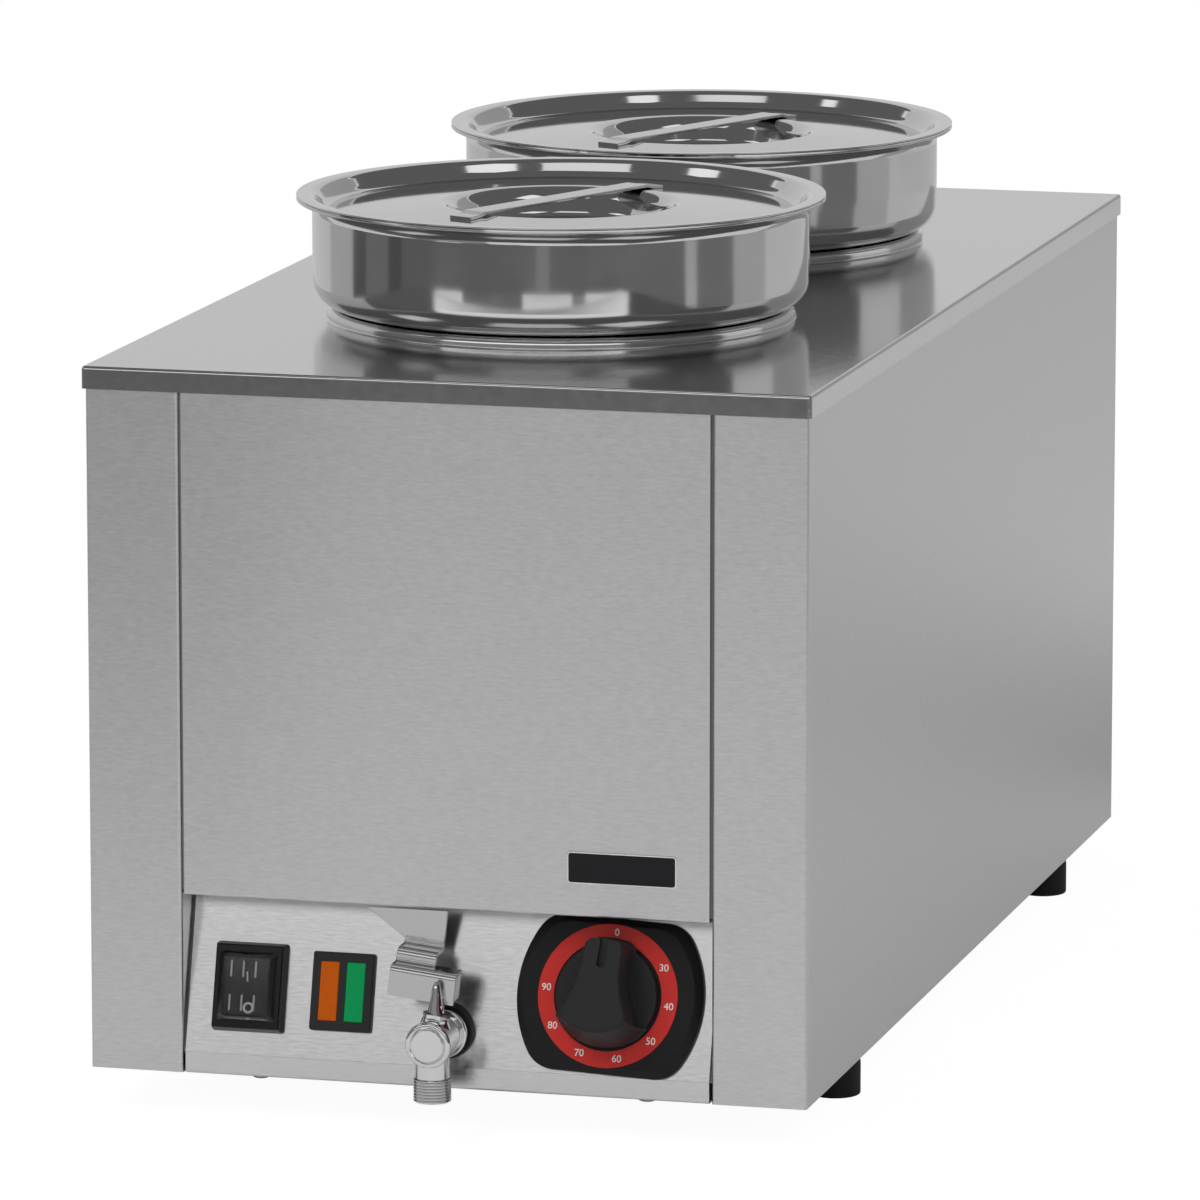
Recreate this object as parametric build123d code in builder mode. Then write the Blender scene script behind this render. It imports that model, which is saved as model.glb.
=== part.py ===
import os
from math import cos, radians, sin, tan

from build123d import *

os.makedirs("parts", exist_ok=True)

# Casing
deck_width = 330.0
deck_depth = 660.0
deck_height = 334.0
sheet = 1.0
overhang = 1.5
lip_depth = 10.0
cover_corner = 2.0
cover_fold = 0.5
side_fold = 0.5
front_fold = 0.2
pillar_width = 42.7
panel_gap = 1.1
hem_depth = 7.5
pillar_return = 21.0
rear_return = 22.0
bottom_flange = 30.0
flange_gap = 1.0
control_flange = 22.0
recess_lap = 8.0
plate_gap = 1.0
vent_length = 40.0
vent_width = 4.0
vent_pitch = 20.0
vent_rows = 60.0
vent_rise = 71.6
vent_count = 7
badge_size = (49.6, 14.5)
badge_corner = 1.8
badge_margin = 14.6
badge_lift = 22.0
badge_thickness = 0.6

# Feet and screws
foot_height = 18.4
foot_radius = 11.7
foot_inset = 13.5
foot_setback_front = 110.5
foot_setback_rear = 102.5
foot_crown = 4.0
foot_edge = 1.0
foot_well_radius = 5.0
foot_well_depth = 8.0
foot_screw_radius = 2.5
foot_screw_length = 18.0
foot_screw_head = 4.5
foot_screw_head_height = 3.0
base_screw_inset = 31.2
base_screw_setback = 13.0
base_screw_radius = 2.5
base_screw_length = 10.0
base_screw_head = 4.8
base_screw_head_height = 3.2
base_screw_dome = 2.6
rear_screw_radius = 2.0
rear_screw_length = 8.0
rear_screw_head = 3.8
rear_screw_head_height = 2.2
rear_screw_rise = 41.6
rear_screw_drop = 33.0

# Control panel
panel_tilt = 15.0
fold_rise = 9.6
apron_rise = 71.0
switch_margin = 11.5
switch_lift = 30.1
switch_size = (33.4, 39.8)
switch_bezel = 6.4
switch_bevel = 1.7
switch_corner = 1.5
switch_wall = (3.0, 1.0)
switch_depth = 22.0
window_size = (21.4, 28.4)
window_floor = 11.6
cover_lap = (2.55, 1.1)
cover_draft = (2.35, 1.6)
cover_rise = 2.3
cover_wall = 0.7
cover_side = (1.5, 0.9)
rocker_side_gap = 1.0
rocker_end_gap = 1.6
rocker_throw = 9.0
rocker_pivot = -1.0
rocker_pin = 2.0
rocker_rise = 5.6
rocker_dip = 3.8
rocker_edge = 1.5
rocker_heel = (6.0, 5.0)
indicator_gap = 11.75
indicator_lift = 30.3
indicator_size = (28.1, 34.9)
indicator_lip = (3.0, 2.5)
indicator_bezel = 2.6
indicator_round = 0.6
indicator_depth = 18.0
lens_size = (8.7, 26.4)
lens_pitch = 12.0
lens_pocket = 1.8
lens_thickness = 1.6

# Thermostat
dial_margin = 4.4
dial_lift = 35.2
dial_width = 84.4
dial_height = 68.8
dial_thickness = 6.0
dial_corner = 9.0
dial_bow = 80.0
dial_face_bow = 42.0
dial_edge = 2.4
dial_bevel = 3.2
ring_margin = 2.4
ring_width = 7.7
ring_thickness = 0.4
knob_margin = 1.5
knob_gap = 1.0
knob_turn = 5.0
skirt_thickness = 3.0
tip_half = 9.6
tip_overhang = 1.2
tip_rise = 16.6
grip_waist = (10.6, 6.0)
grip_flare = (2.8, 2.5)
grip_spread = 31.75
brow_rise = 20.0
brow_offset = -17.0
heel_rise = 2.0
heel_centre = 5.0
shaft_radius = 3.0
shaft_depth = 22.0
shaft_socket = 12.0
running_gap = 0.05
end_gap = 0.5
bush_radius = 5.0
thermostat_size = (40.0, 36.0)
thermostat_depth = 34.0
tab_strip = (20.0, 6.0)
tab_strip_offset = 10.0
tab_length = 6.0
bulb_radius = 3.0
bulb_length = 80.0
bulb_x = 60.0
bulb_setback = 120.0
capillary_radius = 0.9
capillary_offset = 12.0
clip_reach = 8.0
clip_setback = 30.0
clip_width = 20.0

# Pots and lids
pot_body_radius = 102.4
pot_wall = 0.8
pot_depth = 214.3
pot_corner = 14.0
pot_rise = 50.0
pot_gap = 20.2
pot_seat_gap = 0.1
well_gap = 0.7
collar_width = 3.6
collar_height = 5.2
collar_round = 3.5
band_overhang = 6.3
rim_reach = 7.2
shoulder_slope = 15.0
shoulder_flat = 1.152
shoulder_root = 1.0
flare_radius = 7.0
lid_seat_gap = 0.15
lid_flange = 7.0
lid_flange_round = 1.2
lid_wall_run = 5.6
lid_drop = 7.8
lid_foot_round = 2.4
lid_rise = 3.8
lid_crest_radius = 50.0
lid_crest_round = 9.0
dish_run = 6.5
dish_depth = 13.0
dish_round = 5.0
strap_seat_run = 12.0
strap_foot = 7.0
strap_bend = 4.0
strap_width = 12.4
strap_thickness = 1.4
strap_angle = 65.8
strap_lift = 1.0
strap_shift = 2.1

# Tank and heater
tank_inset = 19.0
tank_gap = 1.0
tank_corner = 20.0
tank_bend = 8.0
tank_flange = 4.0
bath_depth = 53.0
element_radius = 4.0
element_lift = 16.0
element_inset = 41.0
element_setback_front = 71.0
element_setback_rear = 51.0
element_bend = 30.0
terminal_bend = 10.0
terminal_x = 25.0
terminal_drop = 30.0
bushing_thread = 6.0
bushing_hex = 10.0
bushing_hex_height = 7.0
bushing_flange = 9.0
bushing_flange_height = 3.0
drain_setback = 26.0
drain_bend = 20.0
pipe_radius = 8.0
pipe_wall = 2.0
pipe_gap = 1.5

# Tap
tap_rise = 16.0
tap_roll = 6.5
washer_radius = 11.9
washer_proud = 0.1
washer_depth = 12.0
tail_length = 4.9
tap_flange_radius = 10.9
tap_flange_length = 5.0
barrel_radius = 9.2
bore_radius = 5.0
stem_setout = 18.7
spout_setout = 2.4
ball_radius = 6.4
ball_gap = 0.3
ball_port = 3.6
ball_flat = 1.2
cap_radius = 10.3
cap_thickness = 4.0
cap_seat = 0.1
cap_bevel = 1.2
cap_boss = 7.4
cap_boss_height = 0.6
thread_drop = 15.5
thread_radius = 8.33
thread_depth = 0.83
thread_pitch = 1.337
thread_crest = (0.4, 0.8)
thread_turns = 8
spout_lip = 0.204
neck_step = 0.1
stem_radius = 3.0
boss_radius = 5.6
boss_rise = 1.4
nut_size = 6.2
nut_height = 2.2
wing_gap = 0.4
wing_radius = 4.6
wing_height = 3.6
wing_socket = 3.3
wing_front = 3.4
wing_tab = (4.8, 8.8)
wing_crown = 2.6
lever_sheet = 1.8
lever_setback = 3.0
lever_left = -24.0
lever_right = 6.0
lever_neck = -6.0
lever_tab_lift = 1.2
lever_tab_height = 13.6
lever_cheek = (12.2, 2.0)
riser_height = 6.9
riser_setback = 10.6
grip_setback = 11.2
grip_left = -43.4
grip_shoulder = 14.2
grip_slope = 0.8
grip_top_rise = 53.4
lever_screw_radius = 1.5
lever_screw_rise = 6.4
lever_screw_reach = 2.4
lever_screw_head = 2.8
lever_screw_head_height = 2.0

# Cable entry
gland_inset = 68.5
gland_rise = 41.6
gland_length = 31.1
gland_hex = 13.0
gland_hex_length = 8.0
gland_dome = 10.5
gland_round = 4.0
gland_thread = 8.0
gland_thread_length = 12.0
gland_bore = 4.5
locknut_hex = 12.5
locknut_height = 5.0
terminal_setback = 58.5
terminal_size = (30.0, 18.0)
terminal_height = 16.0
terminal_hole = 2.5
terminal_hole_depth = 8.0
terminal_pitch = 9.0

# Places worked out from the sizes
under_deck = deck_height - sheet
body_half = deck_width / 2 - overhang
body_front = -(deck_depth / 2 - overhang)
body_back = -body_front
pillar_x = body_half - pillar_width
panel_half = pillar_x - panel_gap
fold_height = foot_height + fold_rise
front_panel_bottom = fold_height + apron_rise
tilt = radians(panel_tilt)
slope_top = body_front + (apron_rise - sheet) * tan(tilt)
recess_back = slope_top + recess_lap
panel_plane = Plane((0, body_front, fold_height), x_dir=(1, 0, 0), z_dir=(0, -cos(tilt), sin(tilt)))
switch_x = -(panel_half - switch_margin - switch_size[0] / 2)
switch_cutout = (window_size[0] + 2 * switch_wall[0], window_size[1] + 2 * switch_wall[1])
indicator_x = switch_x + switch_size[0] / 2 + indicator_gap + indicator_size[0] / 2
indicator_cutout = (indicator_size[0] - 2 * indicator_lip[0], indicator_size[1] - 2 * indicator_lip[1])
dial_x = panel_half - dial_margin - dial_width / 2
ring_outer = dial_height / 2 - ring_margin
ring_inner = ring_outer - ring_width
knob_radius = ring_inner - knob_margin
skirt_bottom = dial_thickness + knob_gap
skirt_top = skirt_bottom + skirt_thickness
foot_x = body_half - foot_inset
foot_front_y = body_front + foot_setback_front
foot_rear_y = body_back - foot_setback_rear
base_screw_x = panel_half - base_screw_inset
base_screw_y = body_front + base_screw_setback
rear_screw_x = body_half - rear_return / 2
rear_screw_low = foot_height + rear_screw_rise
rear_screw_high = under_deck - rear_screw_drop

well_radius = pot_body_radius + well_gap
collar_radius = well_radius + collar_width
pot_band_radius = collar_radius + band_overhang
pot_rim_radius = pot_band_radius + rim_reach
pot_y = pot_rim_radius + pot_gap / 2
shoulder_run = pot_band_radius - pot_body_radius
shoulder_height = deck_height + collar_height + pot_seat_gap
shoulder_length = shoulder_run / cos(radians(shoulder_slope))
shoulder_rise = shoulder_run * tan(radians(shoulder_slope))
shoulder_radius = (shoulder_length - shoulder_flat) / tan(radians(90 - shoulder_slope) / 2)
pot_rim_height = shoulder_height + pot_rise
pot_bottom = pot_rim_height - pot_depth
lid_throat_radius = pot_rim_radius - lid_flange
lid_edge_radius = lid_throat_radius - lid_wall_run
lid_flange_height = pot_rim_height + lid_seat_gap
lid_edge_height = lid_flange_height - lid_drop
lid_crest_height = lid_edge_height + lid_rise
dish_radius = lid_crest_radius - dish_run
dish_height = lid_crest_height - dish_depth
strap_seat = lid_crest_radius + strap_seat_run
strap_half = strap_seat + strap_foot

tank_width = deck_width - 2 * tank_inset
tank_depth = -2 * (recess_back + tank_gap)
tank_floor = pot_bottom - bath_depth
element_height = tank_floor + element_lift
element_half = tank_width / 2 - element_inset
element_front = -tank_depth / 2 + element_setback_front
element_back = tank_depth / 2 - element_setback_rear
terminal_bottom = tank_floor - terminal_drop
drain_y = -tank_depth / 2 + drain_setback
top_flange = body_half - sheet / 2 - tank_width / 2 - tank_flange - flange_gap
front_flange = -body_front - tank_depth / 2 - tank_flange - flange_gap
bulb_y = -tank_depth / 2 + bulb_setback
bulb_z = tank_floor - bulb_radius

tap_height = fold_height + tap_rise
roll = radians(tap_roll)
washer_face = body_front - washer_proud
tail_end = washer_face - tail_length
stem_y = body_front - stem_setout
spout_y = stem_y - spout_setout
cap_back = stem_y - ball_radius - ball_gap - cap_seat
thread_top = tap_height - thread_drop
thread_root = thread_radius - thread_depth
neck_radius = thread_root + neck_step
spout_bottom = thread_top - thread_turns * thread_pitch - spout_lip
boss_top = barrel_radius + boss_rise
nut_top = boss_top + nut_height
wing_bottom = nut_top + wing_gap
lever_screw_height = wing_bottom + lever_screw_rise
tab_face = stem_y + lever_setback
tab_bottom = wing_bottom + lever_tab_lift
plate_top = tab_bottom + lever_tab_height
riser_top = plate_top + riser_height
riser_back = tab_face + riser_setback
grip_back = riser_back + grip_setback
grip_bottom = riser_top + grip_shoulder
grip_top = tap_height + grip_top_rise
gland_x = body_half - gland_inset
gland_z = foot_height + gland_rise
gland_face = body_back - sheet

dial_plane = Plane(
    panel_plane.from_local_coords((dial_x, dial_lift, 0)), x_dir=(1, 0, 0), z_dir=panel_plane.z_dir
)
knob_x = dial_plane.x_dir.rotate(Axis((0, 0, 0), dial_plane.z_dir), -knob_turn)
knob_plane = Plane(dial_plane.origin, x_dir=knob_x, z_dir=dial_plane.z_dir)
switch_plane = Plane(
    panel_plane.from_local_coords((switch_x, switch_lift, 0)), x_dir=(1, 0, 0), z_dir=panel_plane.z_dir
)
side_plane = Plane(switch_plane.origin, x_dir=switch_plane.y_dir, z_dir=switch_plane.x_dir)
rocker_x = side_plane.x_dir.rotate(Axis((0, 0, 0), side_plane.z_dir), rocker_throw)
rocker_plane = Plane(
    side_plane.from_local_coords((0, rocker_pivot, 0)), x_dir=rocker_x, z_dir=side_plane.z_dir
)
lamp_plane = Plane(
    panel_plane.from_local_coords((indicator_x, indicator_lift, 0)), x_dir=(1, 0, 0), z_dir=panel_plane.z_dir
)
stem_dir = (sin(roll), 0, cos(roll))
tap_plane = Plane((0, 0, tap_height), x_dir=(cos(roll), 0, -sin(roll)), z_dir=(0, -1, 0))
stem_plane = Plane((0, stem_y, tap_height), x_dir=(cos(roll), 0, -sin(roll)), z_dir=stem_dir)

from_base = (Align.CENTER, Align.CENTER, Align.MIN)
from_top = (Align.CENTER, Align.CENTER, Align.MAX)
foot_spots = [(x, y) for x in (-foot_x, foot_x) for y in (foot_front_y, foot_rear_y)]
base_screw_spots = [(-base_screw_x, base_screw_y), (base_screw_x, base_screw_y)]
rear_screw_spots = [
    (x, z) for x in (-rear_screw_x, rear_screw_x) for z in (rear_screw_low, rear_screw_high)
]


def cone_height(radius):
    """Height of the lid's upper face at a radius outside the crest."""
    fall = lid_rise / (lid_edge_radius - lid_crest_radius)
    return lid_crest_height + pot_wall - (radius - lid_crest_radius) * fall


def plate_outline(width, height, bow):
    """Draws the dial plate's outline: bowed sides, flat ends and round corners."""
    with Locations((bow - width / 2, 0)):
        Circle(bow)
    with Locations((width / 2 - bow, 0)):
        Circle(bow, mode=Mode.INTERSECT)
    Rectangle(2 * width, height, mode=Mode.INTERSECT)
    fillet(vertices(), dial_corner)


# Casing sheets
with BuildPart() as top_cover:
    with BuildSketch(Plane.XY.offset(deck_height)):
        RectangleRounded(deck_width, deck_depth, cover_corner)
    extrude(amount=-lip_depth)
    fillet(top_cover.faces().sort_by(Axis.Z)[-1].edges(), sheet + cover_fold)
    offset(amount=-sheet, openings=top_cover.faces().sort_by(Axis.Z)[0])
    with BuildSketch(Plane.XY.offset(deck_height)):
        with Locations((0, -pot_y), (0, pot_y)):
            Circle(collar_radius - sheet)
    extrude(amount=-2 * sheet, mode=Mode.SUBTRACT)
    for y in (-pot_y, pot_y):
        with BuildSketch(Plane.XZ.offset(-y)):
            with BuildLine():
                FilletPolyline(
                    (collar_radius, under_deck),
                    (collar_radius, deck_height + collar_height),
                    (well_radius, deck_height + collar_height),
                    radius=collar_round,
                )
                offset(amount=sheet, side=Side.LEFT)
            make_face()
        revolve(axis=Axis((0, y, 0), (0, 0, 1)))
top_cover.part.label = "top_cover"
export_step(top_cover.part, "parts/top_cover.step")

with BuildPart() as right_side_panel:
    with BuildSketch(Plane.XY.offset(foot_height)):
        with BuildLine():
            FilletPolyline(
                (pillar_x, body_front + hem_depth),
                (pillar_x, body_front),
                (body_half, body_front),
                (body_half, body_back),
                (body_half - rear_return, body_back),
                radius=sheet + side_fold,
            )
            offset(amount=sheet, side=Side.LEFT)
        make_face()
    extrude(amount=under_deck - foot_height)
    with BuildSketch(Plane.XY.offset(fold_height)):
        with Locations((pillar_x, body_front + hem_depth)):
            Rectangle(sheet, pillar_return - hem_depth, align=(Align.MIN, Align.MIN))
    extrude(amount=under_deck - fold_height)
    for z, flange in ((foot_height, bottom_flange), (under_deck - sheet, top_flange)):
        with BuildSketch(Plane.XY.offset(z)):
            with Locations((body_half - sheet / 2, 0)):
                Rectangle(flange, 2 * (body_back - hem_depth - plate_gap), align=(Align.MAX, Align.CENTER))
        extrude(amount=sheet)
    with BuildSketch(Plane.XY.offset(foot_height)):
        with Locations(foot_spots[2:]):
            Circle(foot_screw_radius)
    extrude(amount=sheet, mode=Mode.SUBTRACT)
    with BuildSketch(Plane.XZ.offset(body_front)):
        with Locations(rear_screw_spots[2:]):
            Circle(rear_screw_radius)
    extrude(amount=sheet, mode=Mode.SUBTRACT)
right_side_panel.part.label = "right_side_panel"
export_step(right_side_panel.part, "parts/right_side_panel.step")

with BuildPart() as left_side_panel:
    mirror(right_side_panel.part, about=Plane.YZ)
left_side_panel.part.label = "left_side_panel"
export_step(left_side_panel.part, "parts/left_side_panel.step")

with BuildPart() as front_panel:
    with BuildSketch(Plane.YZ):
        with BuildLine():
            FilletPolyline(
                (recess_back, front_panel_bottom),
                (body_front, front_panel_bottom),
                (body_front, under_deck),
                (body_front + front_flange, under_deck),
                radius=sheet + front_fold,
            )
            offset(amount=sheet, side=Side.RIGHT)
        make_face()
    extrude(amount=panel_half, both=True)
front_panel.part.label = "front_panel"
export_step(front_panel.part, "parts/front_panel.step")

with BuildPart() as control_panel:
    with BuildSketch(Plane.YZ):
        with BuildLine():
            FilletPolyline(
                (body_front + control_flange, foot_height),
                (body_front, foot_height),
                (body_front, fold_height),
                (slope_top, front_panel_bottom - sheet),
                (slope_top, front_panel_bottom),
                (recess_back, front_panel_bottom),
                radius=(sheet + front_fold, sheet + front_fold, 0, 0),
            )
            offset(amount=sheet, side=Side.RIGHT, kind=Kind.INTERSECTION)
        make_face()
    extrude(amount=panel_half, both=True)
    with BuildSketch(panel_plane):
        with Locations((switch_x, switch_lift)):
            Rectangle(*switch_cutout)
        with Locations((indicator_x, indicator_lift)):
            Rectangle(*indicator_cutout)
        with Locations((dial_x, dial_lift)):
            Circle(bush_radius)
    extrude(amount=2 * sheet, both=True, mode=Mode.SUBTRACT)
    with BuildSketch(Plane.XZ.offset(-body_front)):
        with Locations((0, tap_height)):
            Circle(pipe_radius + pipe_gap)
    extrude(amount=control_flange, both=True, mode=Mode.SUBTRACT)
    with BuildSketch(Plane.XY.offset(foot_height)):
        with Locations(base_screw_spots):
            Circle(base_screw_radius)
    extrude(amount=sheet, mode=Mode.SUBTRACT)
control_panel.part.label = "control_panel"
export_step(control_panel.part, "parts/control_panel.step")

with BuildPart() as back_panel:
    with BuildSketch(Plane.XZ.offset(-gland_face)):
        with Locations((0, foot_height + 2 * sheet)):
            Rectangle(
                2 * (body_half - sheet - plate_gap),
                under_deck - foot_height - 2 * sheet,
                align=(Align.CENTER, Align.MIN),
            )
        with Locations((gland_x, gland_z)):
            Circle(gland_thread, mode=Mode.SUBTRACT)
        with Locations(rear_screw_spots):
            Circle(rear_screw_radius, mode=Mode.SUBTRACT)
        with GridLocations(vent_pitch, 0, vent_count, 1):
            with Locations((0, foot_height + vent_rise)):
                SlotOverall(vent_length, vent_width, rotation=90, mode=Mode.SUBTRACT)
    extrude(amount=sheet)
back_panel.part.label = "back_panel"
export_step(back_panel.part, "parts/back_panel.step")

base_front = body_front + hem_depth + plate_gap
with BuildPart() as base_plate:
    with BuildSketch(Plane.XY.offset(foot_height + sheet)):
        with Locations((0, base_front)):
            Rectangle(
                2 * (body_half - sheet - plate_gap),
                gland_face - sheet - base_front,
                align=(Align.CENTER, Align.MIN),
            )
        with Locations(foot_spots):
            Circle(foot_screw_radius, mode=Mode.SUBTRACT)
        with Locations(base_screw_spots):
            Circle(base_screw_radius, mode=Mode.SUBTRACT)
        with GridLocations(vent_pitch, vent_rows, vent_count, 2):
            SlotOverall(vent_length, vent_width, rotation=90, mode=Mode.SUBTRACT)
    extrude(amount=sheet)
base_plate.part.label = "base_plate"
export_step(base_plate.part, "parts/base_plate.step")

with BuildPart() as badge_plate:
    with BuildSketch(Plane.XZ.offset(-body_front)):
        with Locations((panel_half - badge_margin - badge_size[0] / 2, front_panel_bottom + badge_lift)):
            RectangleRounded(*badge_size, badge_corner)
    extrude(amount=badge_thickness)
badge_plate.part.label = "badge_plate"
export_step(badge_plate.part, "parts/badge_plate.step")

# Feet and screws
for side, x in (("left", -foot_x), ("right", foot_x)):
    for end, y in (("front", foot_front_y), ("rear", foot_rear_y)):
        with BuildPart() as foot:
            with BuildSketch(Plane.XY):
                with Locations((x, y)):
                    Circle(foot_radius)
            extrude(amount=foot_height)
            fillet(foot.edges().sort_by(Axis.Z)[-1], foot_crown)
            fillet(foot.edges().sort_by(Axis.Z)[0], foot_edge)
            with Locations((x, y, 0)):
                Cylinder(foot_well_radius, foot_well_depth, align=from_base, mode=Mode.SUBTRACT)
                Cylinder(foot_screw_radius, foot_height, align=from_base, mode=Mode.SUBTRACT)
        foot.part.label = f"foot_{end}_{side}"
        export_step(foot.part, f"parts/foot_{end}_{side}.step")

with BuildPart() as foot_screws:
    with BuildSketch(Plane.XY.offset(foot_well_depth)):
        with Locations(foot_spots):
            Circle(foot_screw_radius)
    extrude(amount=foot_screw_length)
    with BuildSketch(Plane.XY.offset(foot_well_depth)):
        with Locations(foot_spots):
            Circle(foot_screw_head)
    extrude(amount=-foot_screw_head_height)
foot_screws.part.label = "foot_screws"
export_step(foot_screws.part, "parts/foot_screws.step")

with BuildPart() as base_screws:
    with BuildSketch(Plane.XY.offset(foot_height)):
        with Locations(base_screw_spots):
            Circle(base_screw_head)
    extrude(amount=-base_screw_head_height)
    fillet(base_screws.edges().group_by(Axis.Z)[0], base_screw_dome)
    with BuildSketch(Plane.XY.offset(foot_height)):
        with Locations(base_screw_spots):
            Circle(base_screw_radius)
    extrude(amount=base_screw_length)
base_screws.part.label = "base_screws"
export_step(base_screws.part, "parts/base_screws.step")

with BuildPart() as rear_screws:
    with BuildSketch(Plane.XZ.offset(-body_back)):
        with Locations(rear_screw_spots):
            Circle(rear_screw_head)
    extrude(amount=-rear_screw_head_height)
    with BuildSketch(Plane.XZ.offset(-body_back)):
        with Locations(rear_screw_spots):
            Circle(rear_screw_radius)
    extrude(amount=rear_screw_length)
rear_screws.part.label = "rear_screws"
export_step(rear_screws.part, "parts/rear_screws.step")

# Water tank, drain and heater
with BuildPart() as water_tank:
    with BuildSketch(Plane.XY.offset(tank_floor)):
        RectangleRounded(tank_width, tank_depth, tank_corner)
    extrude(amount=under_deck - tank_floor)
    fillet(water_tank.faces().sort_by(Axis.Z)[0].edges(), tank_bend)
    offset(amount=-sheet, openings=water_tank.faces().sort_by(Axis.Z)[-1])
    with BuildSketch(Plane.XY.offset(under_deck)):
        RectangleRounded(tank_width + 2 * tank_flange, tank_depth + 2 * tank_flange, tank_corner)
        RectangleRounded(
            tank_width - 2 * sheet, tank_depth - 2 * sheet, tank_corner - sheet, mode=Mode.SUBTRACT
        )
    extrude(amount=-sheet)
    with BuildSketch(Plane.XY.offset(tank_floor)):
        with Locations((-terminal_x, element_front), (terminal_x, element_front)):
            Circle(bushing_thread)
        with Locations((0, drain_y)):
            Circle(pipe_radius - pipe_wall)
    extrude(amount=sheet, mode=Mode.SUBTRACT)
water_tank.part.label = "water_tank"
export_step(water_tank.part, "parts/water_tank.step")

with BuildPart() as drain_pipe:
    with BuildLine() as drain_path:
        FilletPolyline(
            (0, drain_y, tank_floor),
            (0, drain_y, tap_height),
            (0, tail_end, tap_height),
            radius=drain_bend,
        )
    with BuildSketch(Plane.XY.offset(tank_floor)):
        with Locations((0, drain_y)):
            Circle(pipe_radius)
    sweep(path=drain_path.line)
    with BuildSketch(Plane.XY.offset(tank_floor)):
        with Locations((0, drain_y)):
            Circle(pipe_radius - pipe_wall)
    sweep(path=drain_path.line, mode=Mode.SUBTRACT)
drain_pipe.part.label = "drain_pipe"
export_step(drain_pipe.part, "parts/drain_pipe.step")

with BuildPart() as heating_element:
    with BuildLine() as element_path:
        FilletPolyline(
            (-terminal_x, element_front, terminal_bottom),
            (-terminal_x, element_front, element_height),
            (-element_half, element_front, element_height),
            (-element_half, element_back, element_height),
            (element_half, element_back, element_height),
            (element_half, element_front, element_height),
            (terminal_x, element_front, element_height),
            (terminal_x, element_front, terminal_bottom),
            radius=(terminal_bend, element_bend, element_bend, element_bend, element_bend, terminal_bend),
        )
    with BuildSketch(Plane.XY.offset(terminal_bottom)):
        with Locations((-terminal_x, element_front)):
            Circle(element_radius)
    sweep(path=element_path.line)
heating_element.part.label = "heating_element"
export_step(heating_element.part, "parts/heating_element.step")

with BuildPart() as element_bushings:
    for x in (-terminal_x, terminal_x):
        with BuildSketch(Plane.XY.offset(tank_floor)):
            with Locations((x, element_front)):
                RegularPolygon(bushing_hex, 6)
        extrude(amount=-bushing_hex_height)
        with BuildSketch(Plane.XY.offset(tank_floor)):
            with Locations((x, element_front)):
                Circle(bushing_thread)
        extrude(amount=sheet)
        with BuildSketch(Plane.XY.offset(tank_floor + sheet)):
            with Locations((x, element_front)):
                Circle(bushing_flange)
        extrude(amount=bushing_flange_height)
        with BuildSketch(Plane.XY.offset(terminal_bottom)):
            with Locations((x, element_front)):
                Circle(element_radius)
        extrude(amount=element_height - terminal_bottom, mode=Mode.SUBTRACT)
element_bushings.part.label = "element_bushings"
export_step(element_bushings.part, "parts/element_bushings.step")

# Thermostat
with BuildPart() as thermostat_plate:
    with BuildSketch(dial_plane):
        plate_outline(dial_width, dial_height, dial_bow)
    extrude(amount=dial_edge)
    with BuildSketch(dial_plane.offset(dial_edge)):
        plate_outline(dial_width, dial_height, dial_bow)
    with BuildSketch(dial_plane.offset(dial_thickness)):
        plate_outline(dial_width - 2 * dial_bevel, dial_height - 2 * dial_bevel, dial_face_bow)
    loft()
    with BuildSketch(dial_plane):
        Circle(bush_radius)
    extrude(amount=dial_thickness, mode=Mode.SUBTRACT)
thermostat_plate.part.label = "thermostat_plate"
export_step(thermostat_plate.part, "parts/thermostat_plate.step")

with BuildPart() as dial_ring:
    with BuildSketch(dial_plane.offset(dial_thickness)):
        Circle(ring_outer)
        Circle(ring_inner, mode=Mode.SUBTRACT)
    extrude(amount=ring_thickness)
dial_ring.part.label = "dial_ring"
export_step(dial_ring.part, "parts/dial_ring.step")

spread = radians(grip_spread)
heel = (knob_radius * cos(spread), -knob_radius * sin(spread))
flare = (heel[0] - grip_flare[0], heel[1] + grip_flare[1])
tip = (tip_half, knob_radius + tip_overhang)
right_edge = [heel, flare, grip_waist, tip]
left_edge = [(-x, y) for x, y in reversed(right_edge)]
with BuildPart() as knob:
    with BuildSketch(knob_plane.offset(skirt_bottom)):
        Circle(knob_radius)
    extrude(amount=skirt_thickness)
    with BuildSketch(knob_plane.offset(skirt_top)):
        with BuildLine():
            Line(tip, (-tip[0], tip[1]))
            Spline(*left_edge)
            ThreePointArc((-heel[0], heel[1]), (0, -knob_radius), heel)
            Spline(*right_edge)
        make_face()
    extrude(amount=brow_rise)
    knob_side = Plane(knob_plane.origin, x_dir=knob_plane.y_dir, z_dir=knob_plane.x_dir)
    with BuildSketch(knob_side):
        Polygon(
            (tip[1], skirt_top + brow_rise),
            (tip[1], skirt_top + tip_rise),
            (brow_offset, skirt_top + brow_rise),
            align=None,
        )
    extrude(amount=knob_radius, both=True, mode=Mode.SUBTRACT)
    with BuildSketch(knob_side):
        Polygon(
            (brow_offset, skirt_top + brow_rise),
            (-knob_radius, skirt_top + heel_rise),
            (-knob_radius, skirt_top + brow_rise),
            align=None,
        )
    heel_axis = Axis(knob_plane.from_local_coords((0, heel_centre, 0)), knob_plane.z_dir)
    revolve(axis=heel_axis, mode=Mode.SUBTRACT)
    with BuildSketch(knob_plane.offset(skirt_bottom)):
        Circle(shaft_radius)
    extrude(amount=shaft_socket, mode=Mode.SUBTRACT)
knob.part.label = "knob"
export_step(knob.part, "parts/knob.step")

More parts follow.
